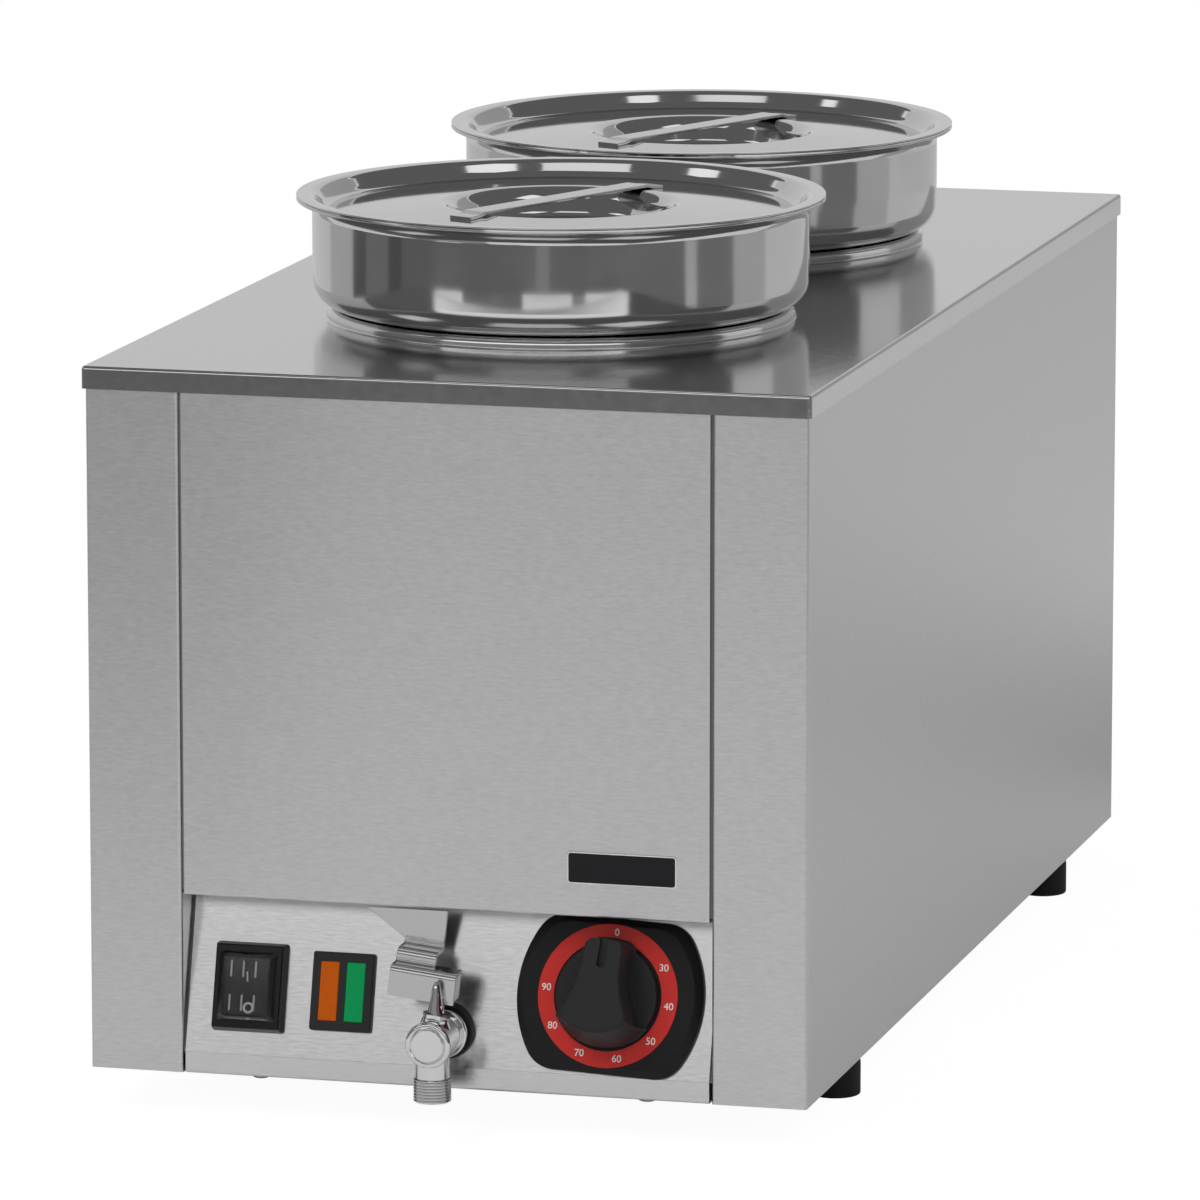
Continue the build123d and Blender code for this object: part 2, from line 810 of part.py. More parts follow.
with BuildPart() as knob_shaft:
    with BuildSketch(dial_plane.offset(-shaft_depth)):
        Circle(shaft_radius)
    extrude(amount=shaft_depth + dial_thickness + shaft_socket)
knob_shaft.part.label = "knob_shaft"
export_step(knob_shaft.part, "parts/knob_shaft.step")

with BuildPart() as thermostat_body:
    with BuildSketch(dial_plane.offset(-sheet)):
        Rectangle(*thermostat_size)
    extrude(amount=-thermostat_depth)
    with BuildSketch(dial_plane.offset(-sheet)):
        Circle(bush_radius)
    extrude(amount=sheet + dial_thickness)
    with BuildSketch(dial_plane.offset(dial_thickness)):
        Circle(shaft_radius + running_gap)
    extrude(amount=-(shaft_depth + end_gap + dial_thickness), mode=Mode.SUBTRACT)
    with BuildSketch(dial_plane.offset(-sheet - thermostat_depth)):
        with Locations((0, tab_strip_offset)):
            Rectangle(*tab_strip)
    extrude(amount=-tab_length)
thermostat_body.part.label = "thermostat_body"
export_step(thermostat_body.part, "parts/thermostat_body.step")

capillary_start = dial_plane.from_local_coords((capillary_offset, 0, -sheet - thermostat_depth))
with BuildPart() as sensor_bulb:
    with BuildSketch(Plane.XZ.offset(-bulb_y)):
        with Locations((bulb_x, bulb_z)):
            Circle(bulb_radius)
    extrude(amount=-bulb_length)
    with BuildLine() as capillary_path:
        Spline(capillary_start, (bulb_x, bulb_y, bulb_z), tangents=(-dial_plane.z_dir, (0, 1, 0)))
    with BuildSketch(Plane(capillary_start, z_dir=-dial_plane.z_dir)):
        Circle(capillary_radius)
    sweep(path=capillary_path.line)
sensor_bulb.part.label = "sensor_bulb"
export_step(sensor_bulb.part, "parts/sensor_bulb.step")

clip_left = bulb_x - bulb_radius
clip_right = bulb_x + bulb_radius
with BuildPart() as bulb_clip:
    with BuildSketch(Plane.XZ.offset(-bulb_y - clip_setback)):
        with BuildLine():
            Polyline(
                (clip_left - bulb_radius - clip_reach, tank_floor),
                (clip_left - bulb_radius, tank_floor),
                (clip_left, bulb_z),
            )
            ThreePointArc((clip_left, bulb_z), (bulb_x, bulb_z - bulb_radius), (clip_right, bulb_z))
            Polyline(
                (clip_right, bulb_z),
                (clip_right + bulb_radius, tank_floor),
                (clip_right + bulb_radius + clip_reach, tank_floor),
            )
            offset(amount=sheet, side=Side.RIGHT)
        make_face()
    extrude(amount=-clip_width)
bulb_clip.part.label = "bulb_clip"
export_step(bulb_clip.part, "parts/bulb_clip.step")

# Switch
with BuildPart() as switch_housing:
    with BuildSketch(switch_plane):
        RectangleRounded(*switch_size, switch_corner)
    with BuildSketch(switch_plane.offset(switch_bezel)):
        RectangleRounded(switch_size[0] - 2 * switch_bevel, switch_size[1] - 2 * switch_bevel, switch_corner)
    loft()
    with BuildSketch(switch_plane):
        Rectangle(*switch_cutout)
    extrude(amount=-switch_depth)
    with BuildSketch(switch_plane.offset(switch_bezel)):
        Rectangle(*window_size)
    extrude(amount=-switch_bezel - window_floor, mode=Mode.SUBTRACT)
    with BuildSketch(side_plane):
        with Locations((0, rocker_pivot)):
            Circle(rocker_pin)
    extrude(amount=window_size[0] / 2, both=True)
switch_housing.part.label = "switch_housing"
export_step(switch_housing.part, "parts/switch_housing.step")

rocker_half = window_size[1] / 2 - rocker_end_gap
with BuildPart() as switch_rocker:
    with BuildSketch(rocker_plane):
        with BuildLine():
            ThreePointArc((rocker_half, rocker_rise), (0, rocker_dip), (-rocker_half, rocker_rise))
            Polyline(
                (-rocker_half, rocker_rise),
                (-rocker_half, rocker_edge),
                (-rocker_heel[0], -rocker_heel[1]),
                (rocker_heel[0], -rocker_heel[1]),
                (rocker_half, rocker_edge),
                (rocker_half, rocker_rise),
            )
        make_face()
        Circle(rocker_pin + running_gap, mode=Mode.SUBTRACT)
    extrude(amount=window_size[0] / 2 - rocker_side_gap, both=True)
switch_rocker.part.label = "switch_rocker"
export_step(switch_rocker.part, "parts/switch_rocker.step")

cover_base = (window_size[0] + 2 * cover_lap[0], window_size[1] + 2 * cover_lap[1])
cover_face = (cover_base[0] - 2 * cover_draft[0], cover_base[1] - 2 * cover_draft[1])
with BuildPart() as switch_cover:
    with BuildSketch(switch_plane.offset(switch_bezel)):
        RectangleRounded(*cover_base, switch_corner)
    with BuildSketch(switch_plane.offset(switch_bezel + cover_rise)):
        RectangleRounded(*cover_face, switch_corner)
    loft()
    with BuildSketch(switch_plane.offset(switch_bezel)):
        Rectangle(cover_base[0] - 2 * cover_side[0], cover_base[1] - 2 * cover_side[1])
    with BuildSketch(switch_plane.offset(switch_bezel + cover_rise - cover_wall)):
        Rectangle(cover_face[0] - cover_side[0], cover_face[1] - cover_side[1])
    loft(mode=Mode.SUBTRACT)
switch_cover.part.label = "switch_cover"
export_step(switch_cover.part, "parts/switch_cover.step")

# Indicator
with BuildPart() as indicator_housing:
    with BuildSketch(lamp_plane):
        RectangleRounded(*indicator_size, 2 * indicator_round)
    extrude(amount=indicator_bezel)
    lamp_axis = Axis(lamp_plane.origin, lamp_plane.z_dir)
    fillet(indicator_housing.faces().sort_by(lamp_axis)[-1].edges(), indicator_round)
    with BuildSketch(lamp_plane):
        Rectangle(*indicator_cutout)
    extrude(amount=-indicator_depth)
    with BuildSketch(lamp_plane.offset(indicator_bezel)):
        with Locations((-lens_pitch / 2, 0), (lens_pitch / 2, 0)):
            Rectangle(*lens_size)
    extrude(amount=-lens_pocket, mode=Mode.SUBTRACT)
indicator_housing.part.label = "indicator_housing"
export_step(indicator_housing.part, "parts/indicator_housing.step")

for colour, x in (("amber", -lens_pitch / 2), ("green", lens_pitch / 2)):
    with BuildPart() as lens:
        with BuildSketch(lamp_plane.offset(indicator_bezel - lens_pocket)):
            with Locations((x, 0)):
                Rectangle(*lens_size)
        extrude(amount=lens_thickness)
    lens.part.label = f"{colour}_lens"
    export_step(lens.part, f"parts/{colour}_lens.step")

# Drain tap
with BuildPart() as tap_washer:
    with BuildSketch(Plane.XZ.offset(-washer_face)):
        with Locations((0, tap_height)):
            Circle(washer_radius)
            Circle(pipe_radius, mode=Mode.SUBTRACT)
    extrude(amount=-washer_depth)
    with BuildSketch(panel_plane):
        with Locations((0, tap_rise)):
            Rectangle(4 * washer_radius, 4 * washer_radius)
    extrude(amount=-2 * washer_depth, mode=Mode.SUBTRACT)
tap_washer.part.label = "tap_washer"
export_step(tap_washer.part, "parts/tap_washer.step")

with BuildPart() as tap_body:
    with BuildSketch(Plane.XZ.offset(-washer_face)):
        with Locations((0, tap_height)):
            Circle(tap_flange_radius)
    extrude(amount=tap_flange_length)
    with BuildSketch(Plane.XZ.offset(-washer_face)):
        with Locations((0, tap_height)):
            Circle(barrel_radius)
    extrude(amount=washer_face - cap_back)
    with BuildSketch(Plane.XY.offset(tap_height)):
        with Locations((0, spout_y)):
            Circle(neck_radius)
    extrude(amount=-thread_drop)
    with BuildSketch(Plane.XZ.offset(-cap_back)):
        with Locations((0, tap_height)):
            Circle(cap_radius)
    extrude(amount=neck_radius, mode=Mode.SUBTRACT)
    with BuildSketch(Plane.XZ.offset(-spout_y)):
        with BuildLine():
            Line((0, thread_top), (thread_root, thread_top))
            for i in range(thread_turns):
                z = thread_top - i * thread_pitch
                Polyline(
                    (thread_root, z),
                    (thread_radius, z - thread_crest[0]),
                    (thread_radius, z - thread_crest[1]),
                    (thread_root, z - thread_pitch),
                )
            Polyline(
                (thread_root, thread_top - thread_turns * thread_pitch),
                (thread_root, spout_bottom),
                (0, spout_bottom),
                (0, thread_top),
            )
        make_face()
    revolve(axis=Axis((0, spout_y, 0), (0, 0, 1)))
    with BuildSketch(stem_plane):
        Circle(boss_radius)
    extrude(amount=boss_top)
    with Locations((0, stem_y, tap_height)):
        Sphere(ball_radius + ball_gap, mode=Mode.SUBTRACT)
    with BuildSketch(Plane.XZ.offset(-stem_y)):
        with Locations((0, tap_height)):
            Circle(ball_radius + ball_gap)
    extrude(amount=stem_y - cap_back, mode=Mode.SUBTRACT)
    with BuildSketch(Plane.XZ.offset(-washer_face)):
        with Locations((0, tap_height)):
            Circle(bore_radius)
    extrude(amount=washer_face - stem_y, mode=Mode.SUBTRACT)
    with BuildSketch(Plane.XZ.offset(-washer_face)):
        with Locations((0, tap_height)):
            Circle(pipe_radius)
    extrude(amount=tail_length, mode=Mode.SUBTRACT)
    with BuildSketch(Plane.XY.offset(spout_bottom)):
        with Locations((0, spout_y)):
            Circle(bore_radius)
    extrude(amount=tap_height - spout_bottom, mode=Mode.SUBTRACT)
    with BuildSketch(stem_plane):
        Circle(stem_radius + running_gap)
    extrude(amount=boss_top, mode=Mode.SUBTRACT)
tap_body.part.label = "tap_body"
export_step(tap_body.part, "parts/tap_body.step")

with BuildPart() as tap_cap:
    with BuildSketch(Plane.XZ.offset(-cap_back)):
        with Locations((0, tap_height)):
            Circle(cap_radius)
    extrude(amount=cap_thickness)
    chamfer(tap_cap.faces().sort_by(Axis.Y)[0].edges(), cap_bevel)
    with BuildSketch(Plane.XZ.offset(-cap_back + cap_thickness)):
        with Locations((0, tap_height)):
            Circle(cap_boss)
    extrude(amount=cap_boss_height)
tap_cap.part.label = "tap_cap"
export_step(tap_cap.part, "parts/tap_cap.step")

with BuildPart() as tap_packing_nut:
    with BuildSketch(stem_plane.offset(boss_top)):
        RegularPolygon(nut_size, 6)
        Circle(stem_radius + running_gap, mode=Mode.SUBTRACT)
    extrude(amount=nut_height)
tap_packing_nut.part.label = "tap_packing_nut"
export_step(tap_packing_nut.part, "parts/tap_packing_nut.step")

with BuildPart() as tap_ball:
    with Locations((0, stem_y, tap_height)):
        Sphere(ball_radius)
    with BuildSketch(stem_plane):
        Circle(ball_port)
    extrude(amount=-2 * ball_radius, mode=Mode.SUBTRACT)
    with BuildSketch(Plane(stem_plane.origin, x_dir=stem_plane.y_dir, z_dir=stem_plane.x_dir)):
        Circle(ball_port)
    extrude(amount=2 * ball_radius, mode=Mode.SUBTRACT)
    with BuildSketch(stem_plane.offset(ball_radius - ball_flat)):
        Circle(ball_radius)
    extrude(amount=2 * ball_flat, mode=Mode.SUBTRACT)
tap_ball.part.label = "tap_ball"
export_step(tap_ball.part, "parts/tap_ball.step")

with BuildPart() as tap_stem:
    with BuildSketch(stem_plane.offset(ball_radius - ball_flat)):
        Circle(stem_radius)
    extrude(amount=wing_bottom + wing_socket - ball_radius + ball_flat)
tap_stem.part.label = "tap_stem"
export_step(tap_stem.part, "parts/tap_stem.step")

with BuildPart() as tap_wing:
    with BuildSketch(stem_plane.offset(wing_bottom)):
        Circle(wing_radius)
    extrude(amount=wing_height)
    with BuildSketch(tap_plane.offset(-tab_face)):
        with Locations((0, wing_bottom)):
            Rectangle(*wing_tab, align=(Align.CENTER, Align.MIN))
        with Locations((0, wing_bottom + wing_tab[1])):
            Ellipse(wing_tab[0] / 2, wing_crown)
    extrude(amount=wing_front + lever_setback)
    with BuildSketch(stem_plane.offset(wing_bottom)):
        with Locations((0, lever_setback)):
            Rectangle(4 * wing_radius, 2 * wing_radius, align=(Align.CENTER, Align.MIN))
    extrude(amount=wing_height, mode=Mode.SUBTRACT)
    with BuildSketch(stem_plane.offset(wing_bottom)):
        Circle(stem_radius)
    extrude(amount=wing_socket, mode=Mode.SUBTRACT)
    with BuildSketch(tap_plane.offset(-tab_face)):
        with Locations((0, lever_screw_height)):
            Circle(lever_screw_radius)
    extrude(amount=lever_screw_reach, mode=Mode.SUBTRACT)
tap_wing.part.label = "tap_wing"
export_step(tap_wing.part, "parts/tap_wing.step")

lever_width = lever_right - lever_left
riser_width = lever_neck - lever_left
with BuildPart() as tap_lever:
    with BuildSketch(tap_plane.offset(-tab_face)):
        with Locations((lever_left, plate_top)):
            Rectangle(lever_width, lever_tab_height, align=(Align.MIN, Align.MAX))
        with Locations((0, lever_screw_height)):
            Circle(lever_screw_radius, mode=Mode.SUBTRACT)
    extrude(amount=-lever_sheet)
    with BuildSketch(tap_plane.offset(-tab_face)):
        with Locations((lever_left, plate_top)):
            Rectangle(lever_width, lever_sheet, align=(Align.MIN, Align.MAX))
    extrude(amount=-riser_setback)
    with BuildSketch(tap_plane.offset(-tab_face)):
        with Locations((lever_right, plate_top)):
            Rectangle(lever_sheet, lever_cheek[0], align=(Align.MAX, Align.MAX))
    extrude(amount=lever_cheek[1] - riser_setback)
    with BuildSketch(tap_plane.offset(-riser_back)):
        with Locations((lever_left, riser_top)):
            Rectangle(riser_width, riser_height + lever_sheet, align=(Align.MIN, Align.MAX))
    extrude(amount=lever_sheet)
    with BuildSketch(tap_plane.offset(-riser_back)):
        with Locations((lever_left, riser_top)):
            Rectangle(riser_width, lever_sheet, align=(Align.MIN, Align.MAX))
    extrude(amount=-grip_setback)
    with BuildSketch(tap_plane.offset(-grip_back)):
        Polygon(
            (lever_left, riser_top - lever_sheet),
            (lever_neck, riser_top - lever_sheet),
            (lever_neck, grip_top_rise + riser_height),
            (grip_left, grip_top_rise + riser_height),
            (grip_left, grip_bottom),
            (lever_left, riser_top + grip_slope),
            align=None,
        )
    extrude(amount=lever_sheet)
    with BuildSketch(Plane.XY.offset(grip_top)):
        with Locations((0, grip_back)):
            Rectangle(-4 * grip_left, 4 * grip_setback)
    extrude(amount=grip_top_rise, mode=Mode.SUBTRACT)
tap_lever.part.label = "tap_lever"
export_step(tap_lever.part, "parts/tap_lever.step")

with BuildPart() as tap_lever_screw:
    with BuildSketch(tap_plane.offset(-tab_face - lever_sheet)):
        with Locations((0, lever_screw_height)):
            Circle(lever_screw_head)
    extrude(amount=-lever_screw_head_height)
    with BuildSketch(tap_plane.offset(-tab_face - lever_sheet)):
        with Locations((0, lever_screw_height)):
            Circle(lever_screw_radius)
    extrude(amount=lever_sheet + lever_screw_reach)
tap_lever_screw.part.label = "tap_lever_screw"
export_step(tap_lever_screw.part, "parts/tap_lever_screw.step")

# Cable entry
with BuildPart() as cable_gland:
    with BuildSketch(Plane.XZ.offset(-gland_face)):
        with Locations((gland_x, gland_z)):
            RegularPolygon(gland_hex, 6)
    extrude(amount=-gland_hex_length)
    with BuildSketch(Plane.XZ.offset(-gland_face)):
        with Locations((gland_x, gland_z)):
            Circle(gland_dome)
    extrude(amount=-gland_length)
    fillet(cable_gland.faces().sort_by(Axis.Y)[-1].edges(), gland_round)
    with BuildSketch(Plane.XZ.offset(-gland_face)):
        with Locations((gland_x, gland_z)):
            Circle(gland_thread)
    extrude(amount=gland_thread_length)
    with BuildSketch(Plane.XZ.offset(-gland_face - gland_length)):
        with Locations((gland_x, gland_z)):
            Circle(gland_bore)
    extrude(amount=gland_length + gland_thread_length, mode=Mode.SUBTRACT)
cable_gland.part.label = "cable_gland"
export_step(cable_gland.part, "parts/cable_gland.step")

with BuildPart() as gland_locknut:
    with BuildSketch(Plane.XZ.offset(-gland_face + sheet)):
        with Locations((gland_x, gland_z)):
            RegularPolygon(locknut_hex, 6)
            Circle(gland_thread, mode=Mode.SUBTRACT)
    extrude(amount=locknut_height)
gland_locknut.part.label = "gland_locknut"
export_step(gland_locknut.part, "parts/gland_locknut.step")

with BuildPart() as terminal_block:
    with BuildSketch(Plane.XY.offset(foot_height + 2 * sheet)):
        with Locations((gland_x, body_back - terminal_setback)):
            Rectangle(*terminal_size)
    extrude(amount=terminal_height)
    with BuildSketch(Plane.XY.offset(foot_height + 2 * sheet + terminal_height)):
        with Locations((gland_x, body_back - terminal_setback)):
            with GridLocations(terminal_pitch, 0, 3, 1):
                Circle(terminal_hole)
    extrude(amount=-terminal_hole_depth, mode=Mode.SUBTRACT)
terminal_block.part.label = "terminal_block"
export_step(terminal_block.part, "parts/terminal_block.step")

# Pots and lids
for end, y in (("front", -pot_y), ("rear", pot_y)):
    turn = Axis((0, y, 0), (0, 0, 1))
    with BuildPart() as pot:
        with BuildSketch(Plane.XZ.offset(-y)):
            with BuildLine():
                FilletPolyline(
                    (0, pot_bottom),
                    (pot_body_radius, pot_bottom),
                    (pot_body_radius, shoulder_height),
                    (pot_band_radius, shoulder_height + shoulder_rise),
                    (pot_band_radius, pot_rim_height - pot_wall),
                    (pot_rim_radius, pot_rim_height - pot_wall),
                    radius=(pot_corner, shoulder_root, shoulder_radius, flare_radius),
                )
                offset(amount=pot_wall, side=Side.LEFT)
            make_face()
        revolve(axis=turn)
    pot.part.label = f"pot_{end}"
    export_step(pot.part, f"parts/pot_{end}.step")

    with BuildPart() as lid:
        with BuildSketch(Plane.XZ.offset(-y)):
            with BuildLine():
                FilletPolyline(
                    (pot_rim_radius, lid_flange_height),
                    (lid_throat_radius, lid_flange_height),
                    (lid_edge_radius, lid_edge_height),
                    (lid_crest_radius, lid_crest_height),
                    (dish_radius, dish_height),
                    (0, dish_height),
                    radius=(lid_flange_round, lid_foot_round, lid_crest_round, dish_round),
                )
                offset(amount=pot_wall, side=Side.RIGHT)
            make_face()
        revolve(axis=turn)
    lid.part.label = f"lid_{end}"
    export_step(lid.part, f"parts/lid_{end}.step")

    along = Vector(1, 0, 0).rotate(Axis.Z, strap_angle)
    across = along.rotate(Axis.Z, 90)
    with BuildPart() as strap:
        with BuildSketch(Plane(Vector(0, y, 0) + across * strap_shift, x_dir=along, z_dir=-across)):
            with BuildLine():
                Polyline(
                    (-strap_half, cone_height(strap_half)),
                    (-strap_seat, cone_height(strap_seat)),
                    (-strap_seat + strap_bend, cone_height(strap_seat) + strap_lift),
                    (strap_seat - strap_bend, cone_height(strap_seat) + strap_lift),
                    (strap_seat, cone_height(strap_seat)),
                    (strap_half, cone_height(strap_half)),
                )
                offset(amount=strap_thickness, side=Side.LEFT, kind=Kind.INTERSECTION)
            make_face()
        extrude(amount=strap_width / 2, both=True)
    strap.part.label = f"lid_handle_{end}"
    export_step(strap.part, f"parts/lid_handle_{end}.step")
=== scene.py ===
"""Blender look of a countertop bain marie with two pots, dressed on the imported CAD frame."""

import logging
import math
from collections.abc import Callable
from dataclasses import dataclass
from enum import Enum

import bmesh
import bpy
from mathutils import Matrix, Vector


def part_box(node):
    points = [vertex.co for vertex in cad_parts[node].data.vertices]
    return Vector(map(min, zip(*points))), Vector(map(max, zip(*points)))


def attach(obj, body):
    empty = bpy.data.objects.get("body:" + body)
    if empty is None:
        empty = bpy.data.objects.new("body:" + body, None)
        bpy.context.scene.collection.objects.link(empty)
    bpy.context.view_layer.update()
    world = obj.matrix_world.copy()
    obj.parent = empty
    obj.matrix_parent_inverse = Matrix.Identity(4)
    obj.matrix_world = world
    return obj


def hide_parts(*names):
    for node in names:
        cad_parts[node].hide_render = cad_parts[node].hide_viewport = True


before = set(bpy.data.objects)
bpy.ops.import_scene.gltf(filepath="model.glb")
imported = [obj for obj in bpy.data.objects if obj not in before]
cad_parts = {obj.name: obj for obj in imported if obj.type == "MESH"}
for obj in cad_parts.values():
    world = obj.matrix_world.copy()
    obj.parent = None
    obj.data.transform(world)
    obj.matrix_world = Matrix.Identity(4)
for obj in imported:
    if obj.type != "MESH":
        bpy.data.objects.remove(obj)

logging.basicConfig(level=logging.INFO, format="%(name)s: %(message)s")
log = logging.getLogger("bain_marie")

MM = 0.001
CREASE = math.radians(32.0)
WELD = 1e-7
SEAM_WELD = 1e-6
LEAST_RADIUS = 0.05
LEAST_MITRE = 0.2
NOISE_LOW, NOISE_HIGH = 0.25, 0.75
EDGE_ANGLES = (-60, -30, 0, 30, 60)
HEX_SIDES = 6
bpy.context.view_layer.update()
X_AXIS = Vector((1.0, 0.0, 0.0))
Y_AXIS = Vector((0.0, 1.0, 0.0))
Z_AXIS = Vector((0.0, 0.0, 1.0))

Point = tuple[float, float]
Outline = Callable[[float], list[Point]]


# Paths and outlines


def rounded_path(corners: list[tuple[float, float, float]], steps: int = 10) -> list[Point]:
    """Rounds the inner corners of an open run of straight lines.

    Args:
        corners: Place of each corner and its radius, in millimetres.
        steps: Pieces in a quarter turn.

    Returns:
        Points along the rounded run.
    """
    path: list[Point] = [corners[0][:2]]
    for before, corner, after in zip(corners, corners[1:], corners[2:]):
        spot = Vector(corner[:2])
        back = (Vector(before[:2]) - spot).normalized()
        ahead = (Vector(after[:2]) - spot).normalized()
        opening = back.angle(ahead)
        radius = corner[2]
        if radius <= 0.0:
            path.append(tuple(spot))
            continue
        start = spot + back * (radius / math.tan(opening / 2))
        centre = spot + (back + ahead).normalized() * (radius / math.sin(opening / 2))
        arm = start - centre
        sweep = math.pi - opening
        if back.x * ahead.y - back.y * ahead.x > 0.0:
            sweep = -sweep
        pieces = max(2, math.ceil(steps * abs(sweep) / (math.pi / 2)))
        for piece in range(pieces + 1):
            turn = sweep * piece / pieces
            path.append((
                centre.x + arm.x * math.cos(turn) - arm.y * math.sin(turn),
                centre.y + arm.x * math.sin(turn) + arm.y * math.cos(turn),
            ))
    path.append(corners[-1][:2])
    return path


def beside(path: list[Point], by: float) -> list[Point]:
    """Moves a smooth open run sideways.

    Args:
        path: Points of the run.
        by: Distance to the left of the run.

    Returns:
        The moved points.
    """
    moved: list[Point] = []
    for index, point in enumerate(path):
        ahead = Vector(path[min(index + 1, len(path) - 1)])
        back = Vector(path[max(index - 1, 0)])
        along = (ahead - back).normalized()
        moved.append((point[0] - along.y * by, point[1] + along.x * by))
    return moved


def rounded_rectangle(width: float, height: float, radius: float, steps: int = 6) -> Outline:
    """Makes a rectangle with rounded corners that can be drawn smaller.

    Args:
        width: Size along x.
        height: Size along y.
        radius: Corner radius.
        steps: Pieces in each corner.

    Returns:
        A function from an inset to the outline.
    """

    def at(inset: float) -> list[Point]:
        """Draws the outline moved inwards by the inset."""
        corner = max(radius - inset, LEAST_RADIUS)
        right = width / 2 - inset - corner
        top = height / 2 - inset - corner
        points: list[Point] = []
        for quarter, (x, y) in enumerate(((right, top), (-right, top), (-right, -top), (right, -top))):
            for step in range(steps + 1):
                turn = math.pi / 2 * (quarter + step / steps)
                points.append((x + corner * math.cos(turn), y + corner * math.sin(turn)))
        return points

    return at


def polygon_outline(corners: list[Point]) -> Outline:
    """Makes a straight-sided outline, given anticlockwise, that can be drawn smaller.

    Args:
        corners: Corners of the outline.

    Returns:
        A function from an inset to the outline.
    """

    def at(inset: float) -> list[Point]:
        """Draws the outline moved inwards by the inset."""
        points: list[Point] = []
        for index, corner in enumerate(corners):
            spot = Vector(corner)
            into = (spot - Vector(corners[index - 1])).normalized()
            out = (Vector(corners[(index + 1) % len(corners)]) - spot).normalized()
            first = Vector((-into.y, into.x))
            second = Vector((-out.y, out.x))
            middle = (first + second).normalized()
            points.append(tuple(spot + middle * (inset / max(middle.dot(first), LEAST_MITRE))))
        return points

    return at


def circle_outline(radius: float, sides: int, turn: float = 0.0) -> Outline:
    """Makes a circle, or a polygon with few sides, that can be drawn smaller.

    Args:
        radius: Radius to its corners.
        sides: Number of sides.
        turn: Direction of the first corner, in radians.

    Returns:
        A function from an inset to the outline.
    """

    def at(inset: float) -> list[Point]:
        """Draws the outline moved inwards by the inset."""
        angles = [turn + 2 * math.pi * side / sides for side in range(sides)]
        return [((radius - inset) * math.cos(a), (radius - inset) * math.sin(a)) for a in angles]

    return at


def sheet_edge(middle: Point, radius: float) -> list[Point]:
    """Rounds the outer edge of a turned sheet.

    Args:
        middle: Middle of the sheet at its edge.
        radius: Half the sheet.

    Returns:
        Points round the edge, from below upwards.
    """
    turns = [math.radians(angle) for angle in EDGE_ANGLES]
    return [(middle[0] + radius * math.cos(turn), middle[1] + radius * math.sin(turn)) for turn in turns]


def at_height(points: list[Point], z: float) -> list[Vector]:
    """Lifts a flat outline to a height."""
    return [Vector((x, y, z)) for x, y in points]


def place(origin: Vector, across: Vector = X_AXIS, up: Vector = Y_AXIS) -> Matrix:
    """Builds the placement of a flat face.

    Args:
        origin: Where the face's zero lies, in millimetres.
        across: Direction of the face's x.
        up: Direction of the face's y.

    Returns:
        The matrix that takes the face's own millimetres to the part's.
    """
    turn = Matrix((across, up, across.cross(up))).transposed().to_4x4()
    return Matrix.Translation(origin) @ turn


def box_mm(node: str) -> tuple[Vector, Vector]:
    """Gives a CAD node's lowest and highest corners in millimetres."""
    low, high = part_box(node)
    return Vector(low) / MM, Vector(high) / MM


# Meshes


class Shape:
    """Points in millimetres and the faces between them."""

    def __init__(self) -> None:
        """Starts with nothing in it."""
        self.points: list[Vector] = []
        self.faces: list[tuple[int, ...]] = []

    def loft(self, rings: list[list[Vector]]) -> "Shape":
        """Adds a closed skin through rings of equal length.

        Args:
            rings: The rings in order, each with its points in order.

        Returns:
            The shape itself.
        """
        start = len(self.points)
        count = len(rings[0])
        for ring in rings:
            self.points.extend(Vector(point) for point in ring)
        for band in range(len(rings) - 1):
            row = start + band * count
            for side in range(count):
                after = (side + 1) % count
                self.faces.append((row + side, row + after, row + count + after, row + count + side))
        last = start + (len(rings) - 1) * count
        self.faces.append(tuple(range(start + count - 1, start - 1, -1)))
        self.faces.append(tuple(range(last, last + count)))
        return self

    def tube(self, rings: list[list[Vector]]) -> "Shape":
        """Adds a skin through rings of equal length that joins the last ring to the first.

        Args:
            rings: The rings in order, each with its points in order.

        Returns:
            The shape itself.
        """
        start = len(self.points)
        count = len(rings[0])
        last = start + (len(rings) - 1) * count
        self.loft(rings)
        self.faces = self.faces[:-2]
        for side in range(count):
            after = (side + 1) % count
            self.faces.append((last + side, last + after, start + after, start + side))
        return self

    def slab(
        self,
        outline: Outline,
        low: float,
        high: float,
        low_round: float = 0.0,
        high_round: float = 0.0,
        draft: float = 0.0,
        steps: int = 4,
    ) -> "Shape":
        """Adds a plate with rounded lower and upper edges.

        Args:
            outline: The plate's outline.
            low: Height of the lower face.
            high: Height of the upper face.
            low_round: Radius of the lower edge.
            high_round: Radius of the upper edge.
            draft: How far the upper face is drawn in.
            steps: Pieces in each rounded edge.

        Returns:
            The shape itself.
        """
        stations: list[tuple[float, float]] = []
        if low_round > 0.0:
            for step in range(steps):
                turn = math.pi / 2 * step / steps
                stations.append((low_round * (1 - math.sin(turn)), low + low_round * (1 - math.cos(turn))))
        stations.append((0.0, low + low_round))
        stations.append((draft, high - high_round))
        if high_round > 0.0:
            for step in range(1, steps + 1):
                turn = math.pi / 2 * step / steps
                inset = draft + high_round * (1 - math.cos(turn))
                stations.append((inset, high - high_round * (1 - math.sin(turn))))
        return self.loft([at_height(outline(inset), z) for inset, z in stations])

    def moved(self, by: Callable[[Vector], Vector]) -> "Shape":
        """Passes every point through a function and gives the shape back."""
        self.points = [by(point) for point in self.points]
        return self


